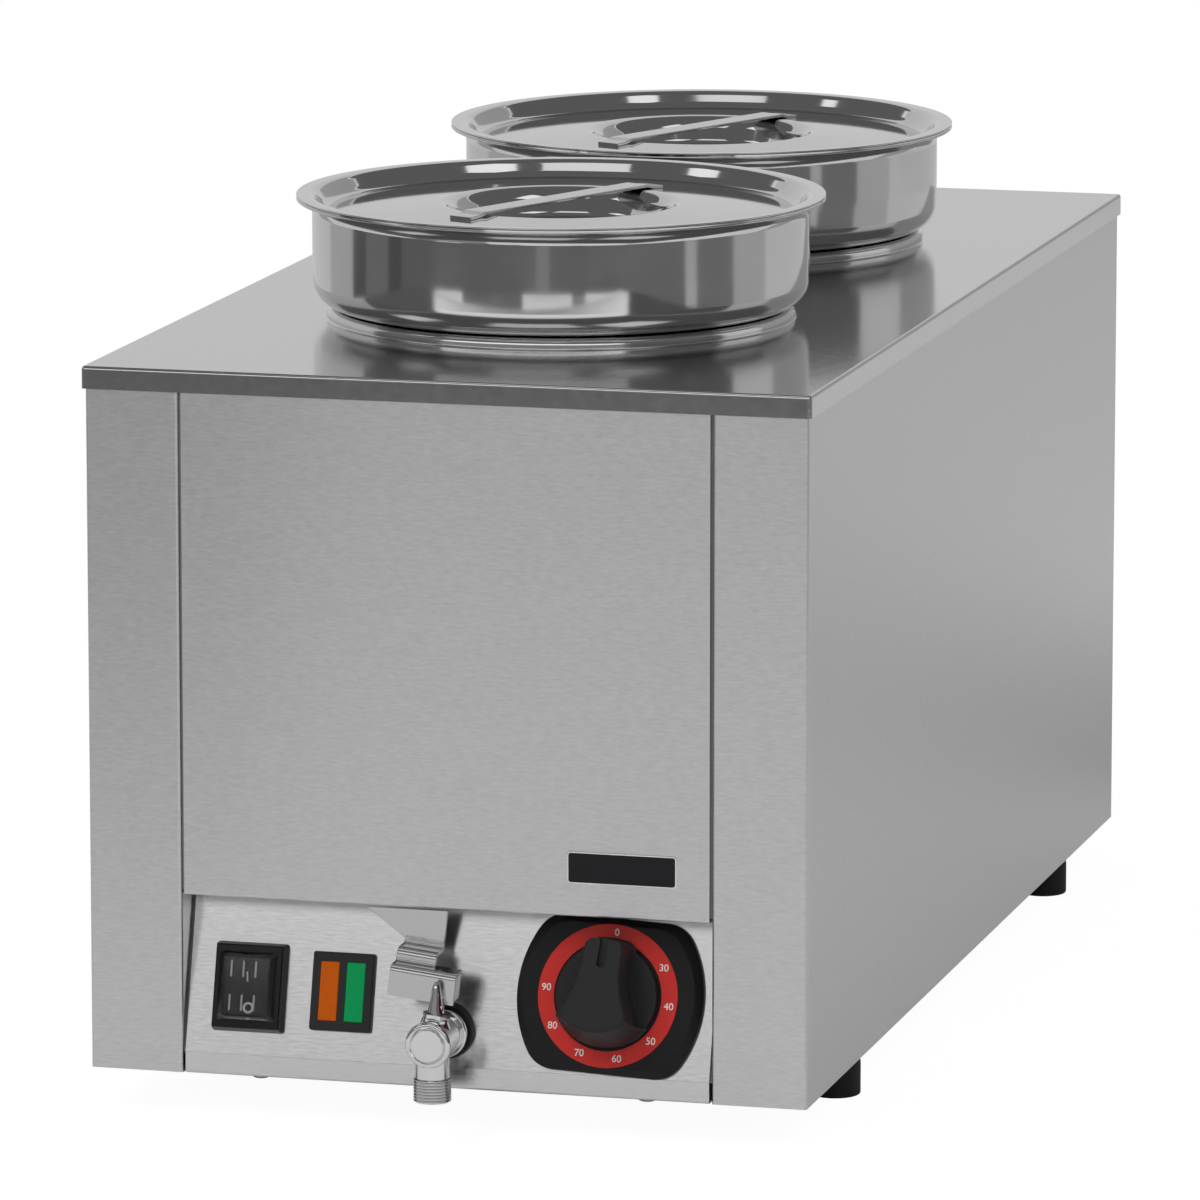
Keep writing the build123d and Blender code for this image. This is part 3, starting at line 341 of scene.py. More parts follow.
def tidy_mesh(mesh: bpy.types.Mesh, crease: float = CREASE) -> None:
    """Closes a mesh, turns its faces outwards and shades it.

    Args:
        mesh: The mesh, in metres.
        crease: Angle above which an edge stays sharp.
    """
    work = bmesh.new()
    work.from_mesh(mesh)
    bmesh.ops.remove_doubles(work, verts=work.verts, dist=WELD)
    bmesh.ops.recalc_face_normals(work, faces=work.faces)
    work.to_mesh(mesh)
    work.free()
    mesh.polygons.foreach_set("use_smooth", [True] * len(mesh.polygons))
    mesh.set_sharp_from_angle(angle=crease)


def linked(name: str, mesh: bpy.types.Mesh) -> bpy.types.Object:
    """Puts a mesh in the scene as an object at the origin."""
    made = bpy.data.objects.new(name, mesh)
    bpy.context.scene.collection.objects.link(made)
    return made


def baked(made: bpy.types.Object) -> bpy.types.Object:
    """Turns an object with modifiers into a plain mesh object of the same name.

    Args:
        made: The object with its modifiers.

    Returns:
        The object, with the modifiers' result as its mesh.
    """
    graph = bpy.context.evaluated_depsgraph_get()
    mesh = bpy.data.meshes.new_from_object(made.evaluated_get(graph))
    made.modifiers.clear()
    old = made.data
    made.data = mesh
    bpy.data.meshes.remove(old)
    mesh.name = made.name
    return made


def even_shading(made: bpy.types.Object) -> bpy.types.Object:
    """Weights a piece's normals by face size, so that flat faces stay flat beside round edges."""
    weight = made.modifiers.new("flat faces", "WEIGHTED_NORMAL")
    weight.keep_sharp = True
    return baked(made)


def plain(name: str, shape: Shape) -> bpy.types.Object:
    """Puts a shape in the scene as it is, still in its own millimetres."""
    mesh = bpy.data.meshes.new(name)
    mesh.from_pydata([tuple(point) for point in shape.points], [], shape.faces)
    return linked(name, mesh)


def piece(
    name: str, shape: Shape, material: bpy.types.Material, where: Matrix | None = None,
    crease: float = CREASE,
) -> bpy.types.Object:
    """Makes an object of a shape.

    Args:
        name: The piece's name.
        shape: Its points and faces.
        material: Its finish.
        where: Its placement in millimetres.
        crease: Angle above which an edge stays sharp.

    Returns:
        The object at the origin, with its place in its mesh.
    """
    made = plain(name, shape)
    made.data.transform(Matrix.Scale(MM, 4) @ (where or Matrix.Identity(4)))
    tidy_mesh(made.data, crease)
    made.data.materials.append(material)
    return even_shading(made)


def joined(name: str, pieces: list[bpy.types.Object]) -> bpy.types.Object:
    """Joins objects of one body into a single mesh.

    Args:
        name: Name of the result.
        pieces: The objects, each at the origin.

    Returns:
        One object with all their faces.
    """
    work = bmesh.new()
    finishes: list[bpy.types.Material] = []
    for one in pieces:
        first = len(work.faces)
        work.from_mesh(one.data)
        work.faces.ensure_lookup_table()
        for finish in one.data.materials:
            if finish not in finishes:
                finishes.append(finish)
        for face in work.faces[first:]:
            face.material_index = finishes.index(one.data.materials[face.material_index])
    mesh = bpy.data.meshes.new(name)
    work.to_mesh(mesh)
    work.free()
    for finish in finishes:
        mesh.materials.append(finish)
    for one in pieces:
        spare = one.data
        bpy.data.objects.remove(one)
        bpy.data.meshes.remove(spare)
    mesh.set_sharp_from_angle(angle=CREASE)
    return even_shading(linked(name, mesh))


def settle(made: bpy.types.Object, body: str, slot: str, *nodes: str) -> bpy.types.Object:
    """Hands a finished piece to the frame.

    Args:
        made: The piece.
        body: The body it rides on.
        slot: Its material slot; not used.
        nodes: CAD nodes that it stands for.

    Returns:
        The piece.
    """
    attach(made, body)
    if nodes:
        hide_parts(*nodes)
    log.info("%s on %s, %d faces", made.name, body, len(made.data.polygons))
    return made


# Node trees


class Wiring:
    """Adds nodes to a tree and joins them."""

    def __init__(self, tree: bpy.types.NodeTree) -> None:
        """Takes the tree to fill."""
        self.tree = tree

    def add(self, kind: str, inputs: dict | None = None, **settings: object) -> bpy.types.Node:
        """Adds a node.

        Args:
            kind: Blender's name for the node type.
            inputs: Values or sockets for its inputs, by name or number.
            settings: Its own options.

        Returns:
            The node.
        """
        node = self.tree.nodes.new(kind)
        for option, value in settings.items():
            setattr(node, option, value)
        for socket, value in (inputs or {}).items():
            if isinstance(value, bpy.types.NodeSocket):
                self.tree.links.new(value, node.inputs[socket])
            else:
                node.inputs[socket].default_value = value
        return node

    def math(self, operation: str, first: object, second: object = 0.0) -> bpy.types.NodeSocket:
        """Adds a sum and gives its result."""
        return self.add("ShaderNodeMath", {0: first, 1: second}, operation=operation).outputs[0]


class NodeShape:
    """A geometry tree with named inputs, run once on a start mesh."""

    def __init__(self, name: str, inputs: dict[str, str]) -> None:
        """Makes the tree with its inputs.

        Args:
            name: The tree's name.
            inputs: Socket type of each named input.
        """
        self.tree = bpy.data.node_groups.new(name, "GeometryNodeTree")
        face = self.tree.interface
        face.new_socket("Geometry", in_out="INPUT", socket_type="NodeSocketGeometry")
        face.new_socket("Geometry", in_out="OUTPUT", socket_type="NodeSocketGeometry")
        self.keys = {
            label: face.new_socket(label, in_out="INPUT", socket_type=kind).identifier
            for label, kind in inputs.items()
        }
        self.wiring = Wiring(self.tree)
        self.source = self.wiring.add("NodeGroupInput").outputs

    def close(self, geometry: bpy.types.NodeSocket) -> None:
        """Ends the tree with real geometry in the finish that was handed in."""
        real = self.wiring.add("GeometryNodeRealizeInstances", {0: geometry}).outputs[0]
        finish = self.wiring.add("GeometryNodeSetMaterial", {0: real, "Material": self.source["Material"]})
        self.wiring.add("NodeGroupOutput", {0: finish.outputs[0]})

    def run(self, start: bpy.types.Object, values: dict[str, object]) -> bpy.types.Object:
        """Runs the tree on an object and keeps the result as its mesh.

        Args:
            start: Object with the start mesh.
            values: Value of each named input.

        Returns:
            The object with a plain mesh.
        """
        modifier = start.modifiers.new(self.tree.name, "NODES")
        modifier.node_group = self.tree
        for label, value in values.items():
            modifier[self.keys[label]] = value
        mesh = baked(start).data
        mesh.materials.clear()
        mesh.materials.append(values["Material"])
        mesh.polygons.foreach_set("material_index", [0] * len(mesh.polygons))
        return start


class Lathe(NodeShape):
    """Turns a profile about the z axis."""

    def __init__(self) -> None:
        """Builds the tree: a grid whose rows follow the profile and whose columns go round."""
        super().__init__("turned piece", {"Segments": "NodeSocketInt", "Material": "NodeSocketMaterial"})
        wire = self.wiring
        profile = self.source["Geometry"]
        size = wire.add("GeometryNodeAttributeDomainSize", {0: profile}, component="MESH")
        columns = wire.math("ADD", self.source["Segments"], 1.0)
        grid = wire.add("GeometryNodeMeshGrid", {
            "Size X": 1.0, "Size Y": 1.0, "Vertices X": size.outputs["Point Count"], "Vertices Y": columns,
        })
        index = wire.add("GeometryNodeInputIndex").outputs[0]
        row = wire.math("FLOOR", wire.math("DIVIDE", wire.math("ADD", index, 0.5), columns))
        column = wire.math("SUBTRACT", index, wire.math("MULTIPLY", row, columns))
        turn = wire.math("DIVIDE", wire.math("MULTIPLY", column, 2 * math.pi), self.source["Segments"])
        position = wire.add("GeometryNodeInputPosition").outputs[0]
        spot = wire.add(
            "GeometryNodeSampleIndex", {"Geometry": profile, "Index": row}, data_type="FLOAT_VECTOR"
        )
        wire.tree.links.new(position, spot.inputs["Value"])
        swung = wire.add(
            "ShaderNodeVectorRotate", {"Vector": spot.outputs[0], "Angle": turn}, rotation_type="Z_AXIS"
        )
        turned = wire.add("GeometryNodeSetPosition", {0: grid.outputs[0], "Position": swung.outputs[0]})
        closed = wire.add("GeometryNodeMergeByDistance", {0: turned.outputs[0], "Distance": SEAM_WELD})
        self.close(closed.outputs[0])

    def turn(
        self,
        name: str,
        path: list[Point],
        material: bpy.types.Material,
        where: Matrix | None = None,
        segments: int = 96,
        crease: float = CREASE,
    ) -> bpy.types.Object:
        """Makes one turned piece.

        Args:
            name: The piece's name.
            path: Radius and height along the profile, in millimetres.
            material: Its finish.
            where: Its placement in millimetres.
            segments: Number of steps round.
            crease: Angle above which an edge stays sharp.

        Returns:
            The object at the origin.
        """
        mesh = bpy.data.meshes.new(name)
        points = [(radius * MM, 0.0, height * MM) for radius, height in path]
        mesh.from_pydata(points, [(i, i + 1) for i in range(len(points) - 1)], [])
        made = self.run(linked(name, mesh), {"Segments": segments, "Material": material})
        if where is not None:
            made.data.transform(Matrix.Scale(MM, 4) @ where @ Matrix.Scale(1 / MM, 4))
        tidy_mesh(made.data, crease)
        return even_shading(made)


class Rows(NodeShape):
    """Repeats a piece in columns and rows."""

    def __init__(self) -> None:
        """Builds the tree: points along a line, repeated along another, with the piece on each."""
        super().__init__("repeated piece", {
            "Columns": "NodeSocketInt",
            "Rows": "NodeSocketInt",
            "Column Step": "NodeSocketVector",
            "Row Step": "NodeSocketVector",
            "Material": "NodeSocketMaterial",
        })
        wire = self.wiring
        across = wire.add(
            "GeometryNodeMeshLine", {"Count": self.source["Columns"], "Offset": self.source["Column Step"]}
        )
        along = wire.add(
            "GeometryNodeMeshLine", {"Count": self.source["Rows"], "Offset": self.source["Row Step"]}
        )
        lines = wire.add(
            "GeometryNodeInstanceOnPoints", {0: across.outputs[0], "Instance": along.outputs[0]}
        )
        spots = wire.add("GeometryNodeRealizeInstances", {0: lines.outputs[0]})
        copies = wire.add(
            "GeometryNodeInstanceOnPoints", {0: spots.outputs[0], "Instance": self.source["Geometry"]}
        )
        self.close(copies.outputs[0])

    def repeat(
        self, made: bpy.types.Object, columns: int, rows: int, column_step: Vector, row_step: Vector
    ) -> bpy.types.Object:
        """Repeats a piece that stands at its first place.

        Args:
            made: The piece.
            columns: Number of copies along the first step.
            rows: Number of copies along the second step.
            column_step: First step, in millimetres.
            row_step: Second step, in millimetres.

        Returns:
            The object with all copies in one mesh.
        """
        self.run(made, {
            "Columns": columns,
            "Rows": rows,
            "Column Step": tuple(column_step * MM),
            "Row Step": tuple(row_step * MM),
            "Material": made.data.materials[0],
        })
        made.data.set_sharp_from_angle(angle=CREASE)
        return even_shading(made)


# Finishes


class Grain(Enum):
    """How a steel face was worked."""

    STREAK = "streak"
    POLISH = "polish"


@dataclass(frozen=True)
class Steel:
    """A stainless steel finish.

    Attributes:
        name: Name of the finish.
        tone: Share of light it returns.
        roughness: Mean roughness.
        spread: How far the roughness wanders.
        mottle: How far the tone wanders.
        grain: How the face was worked.
        pitch: Grains per metre, up the face for streaks.
        relief: Height of the grain in the surface.
        stretch: How far mirrored things smear up and down the face.
        streak_share: How many grains there are along a streak, for each one across it.
    """

    name: str
    tone: float = 0.6
    roughness: float = 0.25
    spread: float = 0.1
    mottle: float = 0.04
    grain: Grain = Grain.POLISH
    pitch: float = 300.0
    relief: float = 0.0
    stretch: float = 0.0
    streak_share: float = 0.2

    def material(self) -> bpy.types.Material:
        """Builds the material.

        Returns:
            The finished material.
        """
        made = bpy.data.materials.new(f"{self.name}_finish")
        made.use_nodes = True
        wire = Wiring(made.node_tree)
        shader = made.node_tree.nodes["Principled BSDF"]
        coords = wire.add("ShaderNodeTexCoord").outputs["Object"]
        along = self.pitch * (self.streak_share if self.grain is Grain.STREAK else 1.0)
        scaled = wire.add("ShaderNodeMapping", {0: coords, "Scale": (along, along, self.pitch)}).outputs[0]
        noise = wire.add("ShaderNodeTexNoise", {0: scaled, "Scale": 1.0, "Detail": 3.0}).outputs[0]
        for socket, mean, swing in (
            ("Base Color", self.tone, self.mottle), ("Roughness", self.roughness, self.spread),
        ):
            wander = wire.add("ShaderNodeMapRange", {
                0: noise, 1: NOISE_LOW, 2: NOISE_HIGH, 3: mean * (1 - swing), 4: mean * (1 + swing),
            })
            made.node_tree.links.new(wander.outputs[0], shader.inputs[socket])
        shader.inputs["Metallic"].default_value = 1.0
        if self.stretch > 0.0:
            upward = wire.add("ShaderNodeCombineXYZ", {"Z": 1.0}).outputs[0]
            made.node_tree.links.new(upward, shader.inputs["Tangent"])
            shader.inputs["Anisotropic"].default_value = self.stretch
        if self.relief > 0.0:
            bump = wire.add("ShaderNodeBump", {"Strength": self.relief, "Distance": MM, "Height": noise})
            made.node_tree.links.new(bump.outputs[0], shader.inputs["Normal"])
        return made


@dataclass(frozen=True)
class Plastic:
    """A plastic or rubber finish.

    Attributes:
        name: Name of the finish.
        colour: Its colour.
        roughness: Mean roughness.
        grain: Grains per metre in the moulded face.
        relief: Height of the grain.
        mottle: How far the colour wanders.
        glow: Light that it gives off itself.
        clear: Share of light that goes through.
        shine: Strength of its mirror layer, 0.5 as for common plastic.
        index: Its refractive index.
    """

    name: str
    colour: tuple[float, float, float]
    roughness: float = 0.4
    grain: float = 2500.0
    relief: float = 0.05
    mottle: float = 0.06
    glow: float = 0.0
    clear: float = 0.0
    shine: float = 0.25
    index: float = 1.45

    def material(self) -> bpy.types.Material:
        """Builds the material.

        Returns:
            The finished material.
        """
        made = bpy.data.materials.new(f"{self.name}_finish")
        made.use_nodes = True
        wire = Wiring(made.node_tree)
        shader = made.node_tree.nodes["Principled BSDF"]
        coords = wire.add("ShaderNodeTexCoord").outputs["Object"]
        noise = wire.add("ShaderNodeTexNoise", {0: coords, "Scale": self.grain, "Detail": 2.0}).outputs[0]
        dark = tuple(channel * (1 - self.mottle) for channel in self.colour) + (1.0,)
        pale = tuple(min(channel * (1 + self.mottle), 1.0) for channel in self.colour) + (1.0,)
        colour = wire.add("ShaderNodeMix", {0: noise, 6: dark, 7: pale}, data_type="RGBA").outputs[2]
        made.node_tree.links.new(colour, shader.inputs["Base Color"])
        shader.inputs["Roughness"].default_value = self.roughness
        shader.inputs["Transmission Weight"].default_value = self.clear
        shader.inputs["Specular IOR Level"].default_value = self.shine
        shader.inputs["IOR"].default_value = self.index
        if self.glow > 0.0:
            made.node_tree.links.new(colour, shader.inputs["Emission Color"])
            shader.inputs["Emission Strength"].default_value = self.glow
        if self.relief > 0.0:
            bump = wire.add("ShaderNodeBump", {"Strength": self.relief, "Distance": MM, "Height": noise})
            made.node_tree.links.new(bump.outputs[0], shader.inputs["Normal"])
        return made


class Palette:
    """All finishes of the part, each built once."""

    def __init__(self) -> None:
        """Builds the materials."""
        streak = Grain.STREAK
        steels = [
            Steel("bright_steel", 0.6, 0.13, 0.15, 0.03, pitch=260.0),
            Steel("brushed_steel", 0.62, 0.31, 0.1, 0.08, streak, 1100.0, 0.02, 0.9),
            Steel("panel_steel", 0.62, 0.22, 0.1, 0.08, streak, 1100.0, 0.02, 0.75),
            Steel("plain_steel", 0.55, 0.38, pitch=90.0),
            Steel("pot_steel", 0.62, 0.1, 0.2, 0.02, pitch=40.0),
            Steel("lid_steel", 0.62, 0.07, 0.2, 0.02, pitch=60.0),
            Steel("strap_steel", 0.62, 0.2, pitch=120.0),
            Steel("lever_steel", 0.5, 0.2, 0.1, 0.02, pitch=120.0),
            Steel("screw_steel", 0.55, 0.22),
            Steel("tap_chrome", 0.66, 0.07, 0.2, 0.02),
            Steel("brass", 0.5, 0.3),
            Steel("badge_edge", 0.7, 0.2),
        ]
        plastics = [
            Plastic("badge_plate", (0.007, 0.0075, 0.009), 0.35),
            Plastic("black_rubber", (0.008, 0.008, 0.008), 0.6),
            Plastic("black_plastic", (0.013, 0.013, 0.0135), 0.5, 3500.0, 0.12, shine=0.14),
            Plastic("knob_black", (0.018, 0.018, 0.0185), 0.42, 3500.0, 0.12, shine=0.2),
            Plastic("switch_black", (0.005, 0.005, 0.0055), 0.25, 2000.0, 0.0),
            Plastic(
                "clear_cover", (0.85, 0.87, 0.88), 0.06, 300.0, 0.0, 0.02, clear=1.0, shine=0.5, index=1.42
            ),
            Plastic("indicator_grey", (0.018, 0.018, 0.018), 0.5, 3000.0, 0.1),
            # The lenses glow faintly: painted light, as the lamps behind them are off.
            Plastic("amber", (0.45, 0.08, 0.002), 0.3, 400.0, 0.0, 0.05, 0.05, shine=0.08),
            Plastic("green", (0.002, 0.26, 0.075), 0.3, 400.0, 0.0, 0.05, 0.05, shine=0.08),
            Plastic("dial_red", (0.52, 0.028, 0.022), 0.4, 400.0, 0.0, 0.04, shine=0.15),
            Plastic("dial_white", (0.66, 0.66, 0.65), 0.45, 400.0, 0.0, 0.02),
            # Light grey of the ribs on the clear cover: painted highlight, the light that the ribs catch.
            Plastic("rib_highlight_grey", (0.22, 0.22, 0.22), 0.4, 400.0, 0.0, 0.05),
            # Grey of the strips behind the panel gaps: painted shade, standing in for the tone of the shade
            # in the gaps.
            Plastic("gap_shade_grey", (0.2, 0.2, 0.2), 0.5, 400.0, 0.0, 0.05),
            Plastic("terminal_cream", (0.68, 0.62, 0.5), 0.5),
        ]
        self.made = {finish.name: finish.material() for finish in [*steels, *plastics]}

    def __getitem__(self, name: str) -> bpy.types.Material:
        """Gives a finish by name."""
        return self.made[name]


# Sub-assemblies


@dataclass
class Tools:
    """What every sub-assembly works with."""

    palette: Palette
    lathe: Lathe
    rows: Rows


@dataclass
class Casing:
    """The sheet casing: deck with collars, panels, badge, feet and screws."""

    tools: Tools
    sheet: float = 1.0
    corner: float = 2.0
    fold: float = 1.5
    fold_steps: int = 6
    deck_crease: float = 40.0
    collar_rise: float = 5.2
    collar_round: float = 3.5
    collar_root: float = 0.8
    collar_radius: float = 106.7
    collar_sides: int = 192
    well_radius: float = 103.1
    badge_corner: float = 1.8
    badge_rim: float = 0.7
    badge_edge_share: float = 0.8
    badge_rounds: Point = (0.3, 0.15)
    foot_radius: float = 11.7
    foot_crown: float = 4.0
    foot_edge: float = 1.0
    foot_well: Point = (5.0, 8.0)
    foot_mouth: float = 0.4
    foot_sides: int = 64
    screw_dome: float = 2.6
    rear_screw_radius: float = 3.8
    rear_screw_dome: float = 1.6
    screw_sides: int = 48
    seam_depth: float = 1.3
    seam_width: float = 3.0
    seam_sheet: float = 0.6
    seam_clear: float = 2.0
    seam_corner: float = 0.2
    slope_length: float = 77.0

    def deck(self) -> None:
        """Builds the top cover with its down-turned edge and both collars."""
        low, high = box_mm("top_cover")
        deck_z = high.z - self.collar_rise
        outline = rounded_rectangle(high.x - low.x, high.y - low.y, self.corner)
        pot_y = (box_mm("pot_rear")[0].y + box_mm("pot_rear")[1].y) / 2
        work = bmesh.new()

        def ring(points: list[Point], z: float) -> list[bmesh.types.BMVert]:
            """Adds a loop of points at one height."""
            return [work.verts.new((x, y, z)) for x, y in points]

        def skin(loops: list[list[bmesh.types.BMVert]]) -> None:
            """Joins loops of equal length with faces."""
            for first, second in zip(loops, loops[1:]):
                for side in range(len(first)):
                    after = (side + 1) % len(first)
                    work.faces.new((first[side], first[after], second[after], second[side]))

        def fill(loops: list[list[bmesh.types.BMVert]]) -> None:
            """Fills a flat face between an outer loop and its holes."""
            edges = []
            for loop in loops:
                for side, vert in enumerate(loop):
                    after = loop[(side + 1) % len(loop)]
                    edges.append(work.edges.get((vert, after)) or work.edges.new((vert, after)))
            bmesh.ops.triangle_fill(work, use_beauty=True, use_dissolve=False, edges=edges)

        rim = [ring(outline(self.sheet), deck_z - self.sheet), ring(outline(self.sheet), low.z)]
        rim.append(ring(outline(0.0), low.z))
        for step in range(self.fold_steps + 1):
            turn = math.pi / 2 * step / self.fold_steps
            inset = self.fold * (1 - math.cos(turn))
            rim.append(ring(outline(inset), deck_z - self.fold * (1 - math.sin(turn))))
        skin(rim)
        outer = rounded_path([
            (self.collar_radius + 2 * self.collar_root, deck_z, 0.0),
            (self.collar_radius, deck_z, self.collar_root),
            (self.collar_radius, high.z, self.collar_round),
            (0.0, high.z, 0.0),
        ])[1:-1]
        inner = [
            (self.well_radius, high.z), (self.well_radius, high.z - self.sheet),
            (self.collar_radius - self.sheet, high.z - self.collar_round),
            (self.collar_radius - self.sheet, deck_z - self.sheet),
        ]
        top, under = [rim[-1]], [rim[0]]
        for y in (-pot_y, pot_y):
            loops = []
            for radius, z in [*outer, *inner]:
                circle = circle_outline(radius, self.collar_sides)(0.0)
                loops.append(ring([(px, py + y) for px, py in circle], z))
            skin(loops)
            top.append(loops[0])
            under.append(loops[-1])
        fill(top)
        fill(under)
        mesh = bpy.data.meshes.new("deck")
        work.to_mesh(mesh)
        work.free()
        mesh.transform(Matrix.Scale(MM, 4))
        tidy_mesh(mesh, math.radians(self.deck_crease))
        mesh.materials.append(self.tools.palette["bright_steel"])
        settle(even_shading(linked("deck", mesh)), "casing", "bright_steel", "top_cover")

    def badge(self) -> None:
        """Builds the blank badge: a dark plate in a thin bright edge."""
        low, high = box_mm("badge_plate")
        centre = (low + high) / 2
        size = high - low
        face = place(Vector((centre.x, high.y, centre.z)), X_AXIS, Z_AXIS)
        outline = rounded_rectangle(size.x, size.z, self.badge_corner)
        edge_round, face_round = self.badge_rounds
        edge = Shape().slab(outline, 0.0, size.y * self.badge_edge_share, 0.0, edge_round)
        plate = Shape().slab(
            lambda inset: outline(inset + self.badge_rim), 0.0, size.y, 0.0, face_round
        )
        rim = piece("badge_edge", edge, self.tools.palette["badge_edge"], face)
        settle(rim, "casing", "badge_plate")
        dark = piece("badge_face", plate, self.tools.palette["badge_plate"], face)
        settle(dark, "casing", "badge_plate", "badge_plate")

    def seams(self) -> None:
        """Builds grey strips behind the gaps beside the front and control panels, painted shade that sets
        how dark the gaps look.
        """
        low, high = box_mm("front_panel")
        grey = self.tools.palette["gap_shade_grey"]
        height = high.z - low.z - 2 * self.seam_clear
        upper = rounded_rectangle(self.seam_width, height, self.seam_corner, steps=2)
        lower = rounded_rectangle(self.seam_width, self.slope_length, self.seam_corner, steps=2)
        back = -self.seam_depth - self.seam_sheet
        made = []
        for x in (low.x, high.x):
            upright = place(Vector((x, low.y, (low.z + high.z) / 2)), X_AXIS, Z_AXIS)
            sloping = Panel().face(x, self.slope_length / 2)
            for outline, face in ((upper, upright), (lower, sloping)):
                made.append(piece("seam", Shape().slab(outline, back, -self.seam_depth), grey, face))
        settle(joined("front_gap_shade", made), "casing", "brushed_steel")

    def feet(self) -> None:
        """Builds the four rubber feet."""
        low, high = box_mm("foot_front_left")
        across = box_mm("foot_front_right")[0] - low
        along = box_mm("foot_rear_left")[0] - low
        well, depth = self.foot_well
        path = rounded_path([
            (0.0, depth, 0.0), (well, depth, 0.0), (well, 0.0, self.foot_mouth),
            (self.foot_radius, 0.0, self.foot_edge), (self.foot_radius, high.z, self.foot_crown),
            (0.0, high.z, 0.0),
        ])
        spot = Vector(((low.x + high.x) / 2, (low.y + high.y) / 2, 0.0))
        foot = self.tools.lathe.turn(
            "feet", path, self.tools.palette["black_rubber"], Matrix.Translation(spot), self.foot_sides
        )
        feet = self.tools.rows.repeat(foot, 2, 2, across, along)
        names = [f"foot_{end}_{side}" for end in ("front", "rear") for side in ("left", "right")]
        settle(feet, "casing", "black_rubber", *names)

    def screws(self) -> None:
        """Builds the dome-headed screws under the front edge and in the back panel."""
        steel = self.tools.palette["screw_steel"]
        low, high = box_mm("base_screws")
        seat = box_mm("control_panel")[0].z
        radius = (high.y - low.y) / 2
        dome = rounded_path([
            (0.0, low.z, 0.0), (radius, low.z, self.screw_dome), (radius, seat, 0.0), (0.0, seat, 0.0)
        ])
        spot = Vector((low.x + radius, (low.y + high.y) / 2, 0.0))
        where = Matrix.Translation(spot)
        head = self.tools.lathe.turn("front_screw_heads", dome, steel, where, self.screw_sides)
        step = Vector((high.x - low.x - 2 * radius, 0.0, 0.0))
        heads = self.tools.rows.repeat(head, 2, 1, step, Vector())
        settle(heads, "casing", "screw_steel", "base_screws")
        low, high = box_mm("rear_screws")
        back = box_mm("right_side_panel")[1].y
        radius = self.rear_screw_radius
        rise = high.y - back
        dome = rounded_path([
            (0.0, 0.0, 0.0), (radius, 0.0, 0.0), (radius, rise, self.rear_screw_dome), (0.0, rise, 0.0)
        ])
        face = place(Vector((high.x - radius, back, low.z + radius)), -X_AXIS, Z_AXIS)
        head = self.tools.lathe.turn("rear_screw_heads", dome, steel, face, self.screw_sides)
        across = Vector((-(high.x - low.x - 2 * radius), 0.0, 0.0))
        upward = Vector((0.0, 0.0, high.z - low.z - 2 * radius))
        settle(self.tools.rows.repeat(head, 2, 2, across, upward), "casing", "screw_steel", "rear_screws")

    def build(self) -> None:
        """Builds all pieces of the casing."""
        self.deck()
        self.badge()
        self.seams()
        self.feet()
        self.screws()


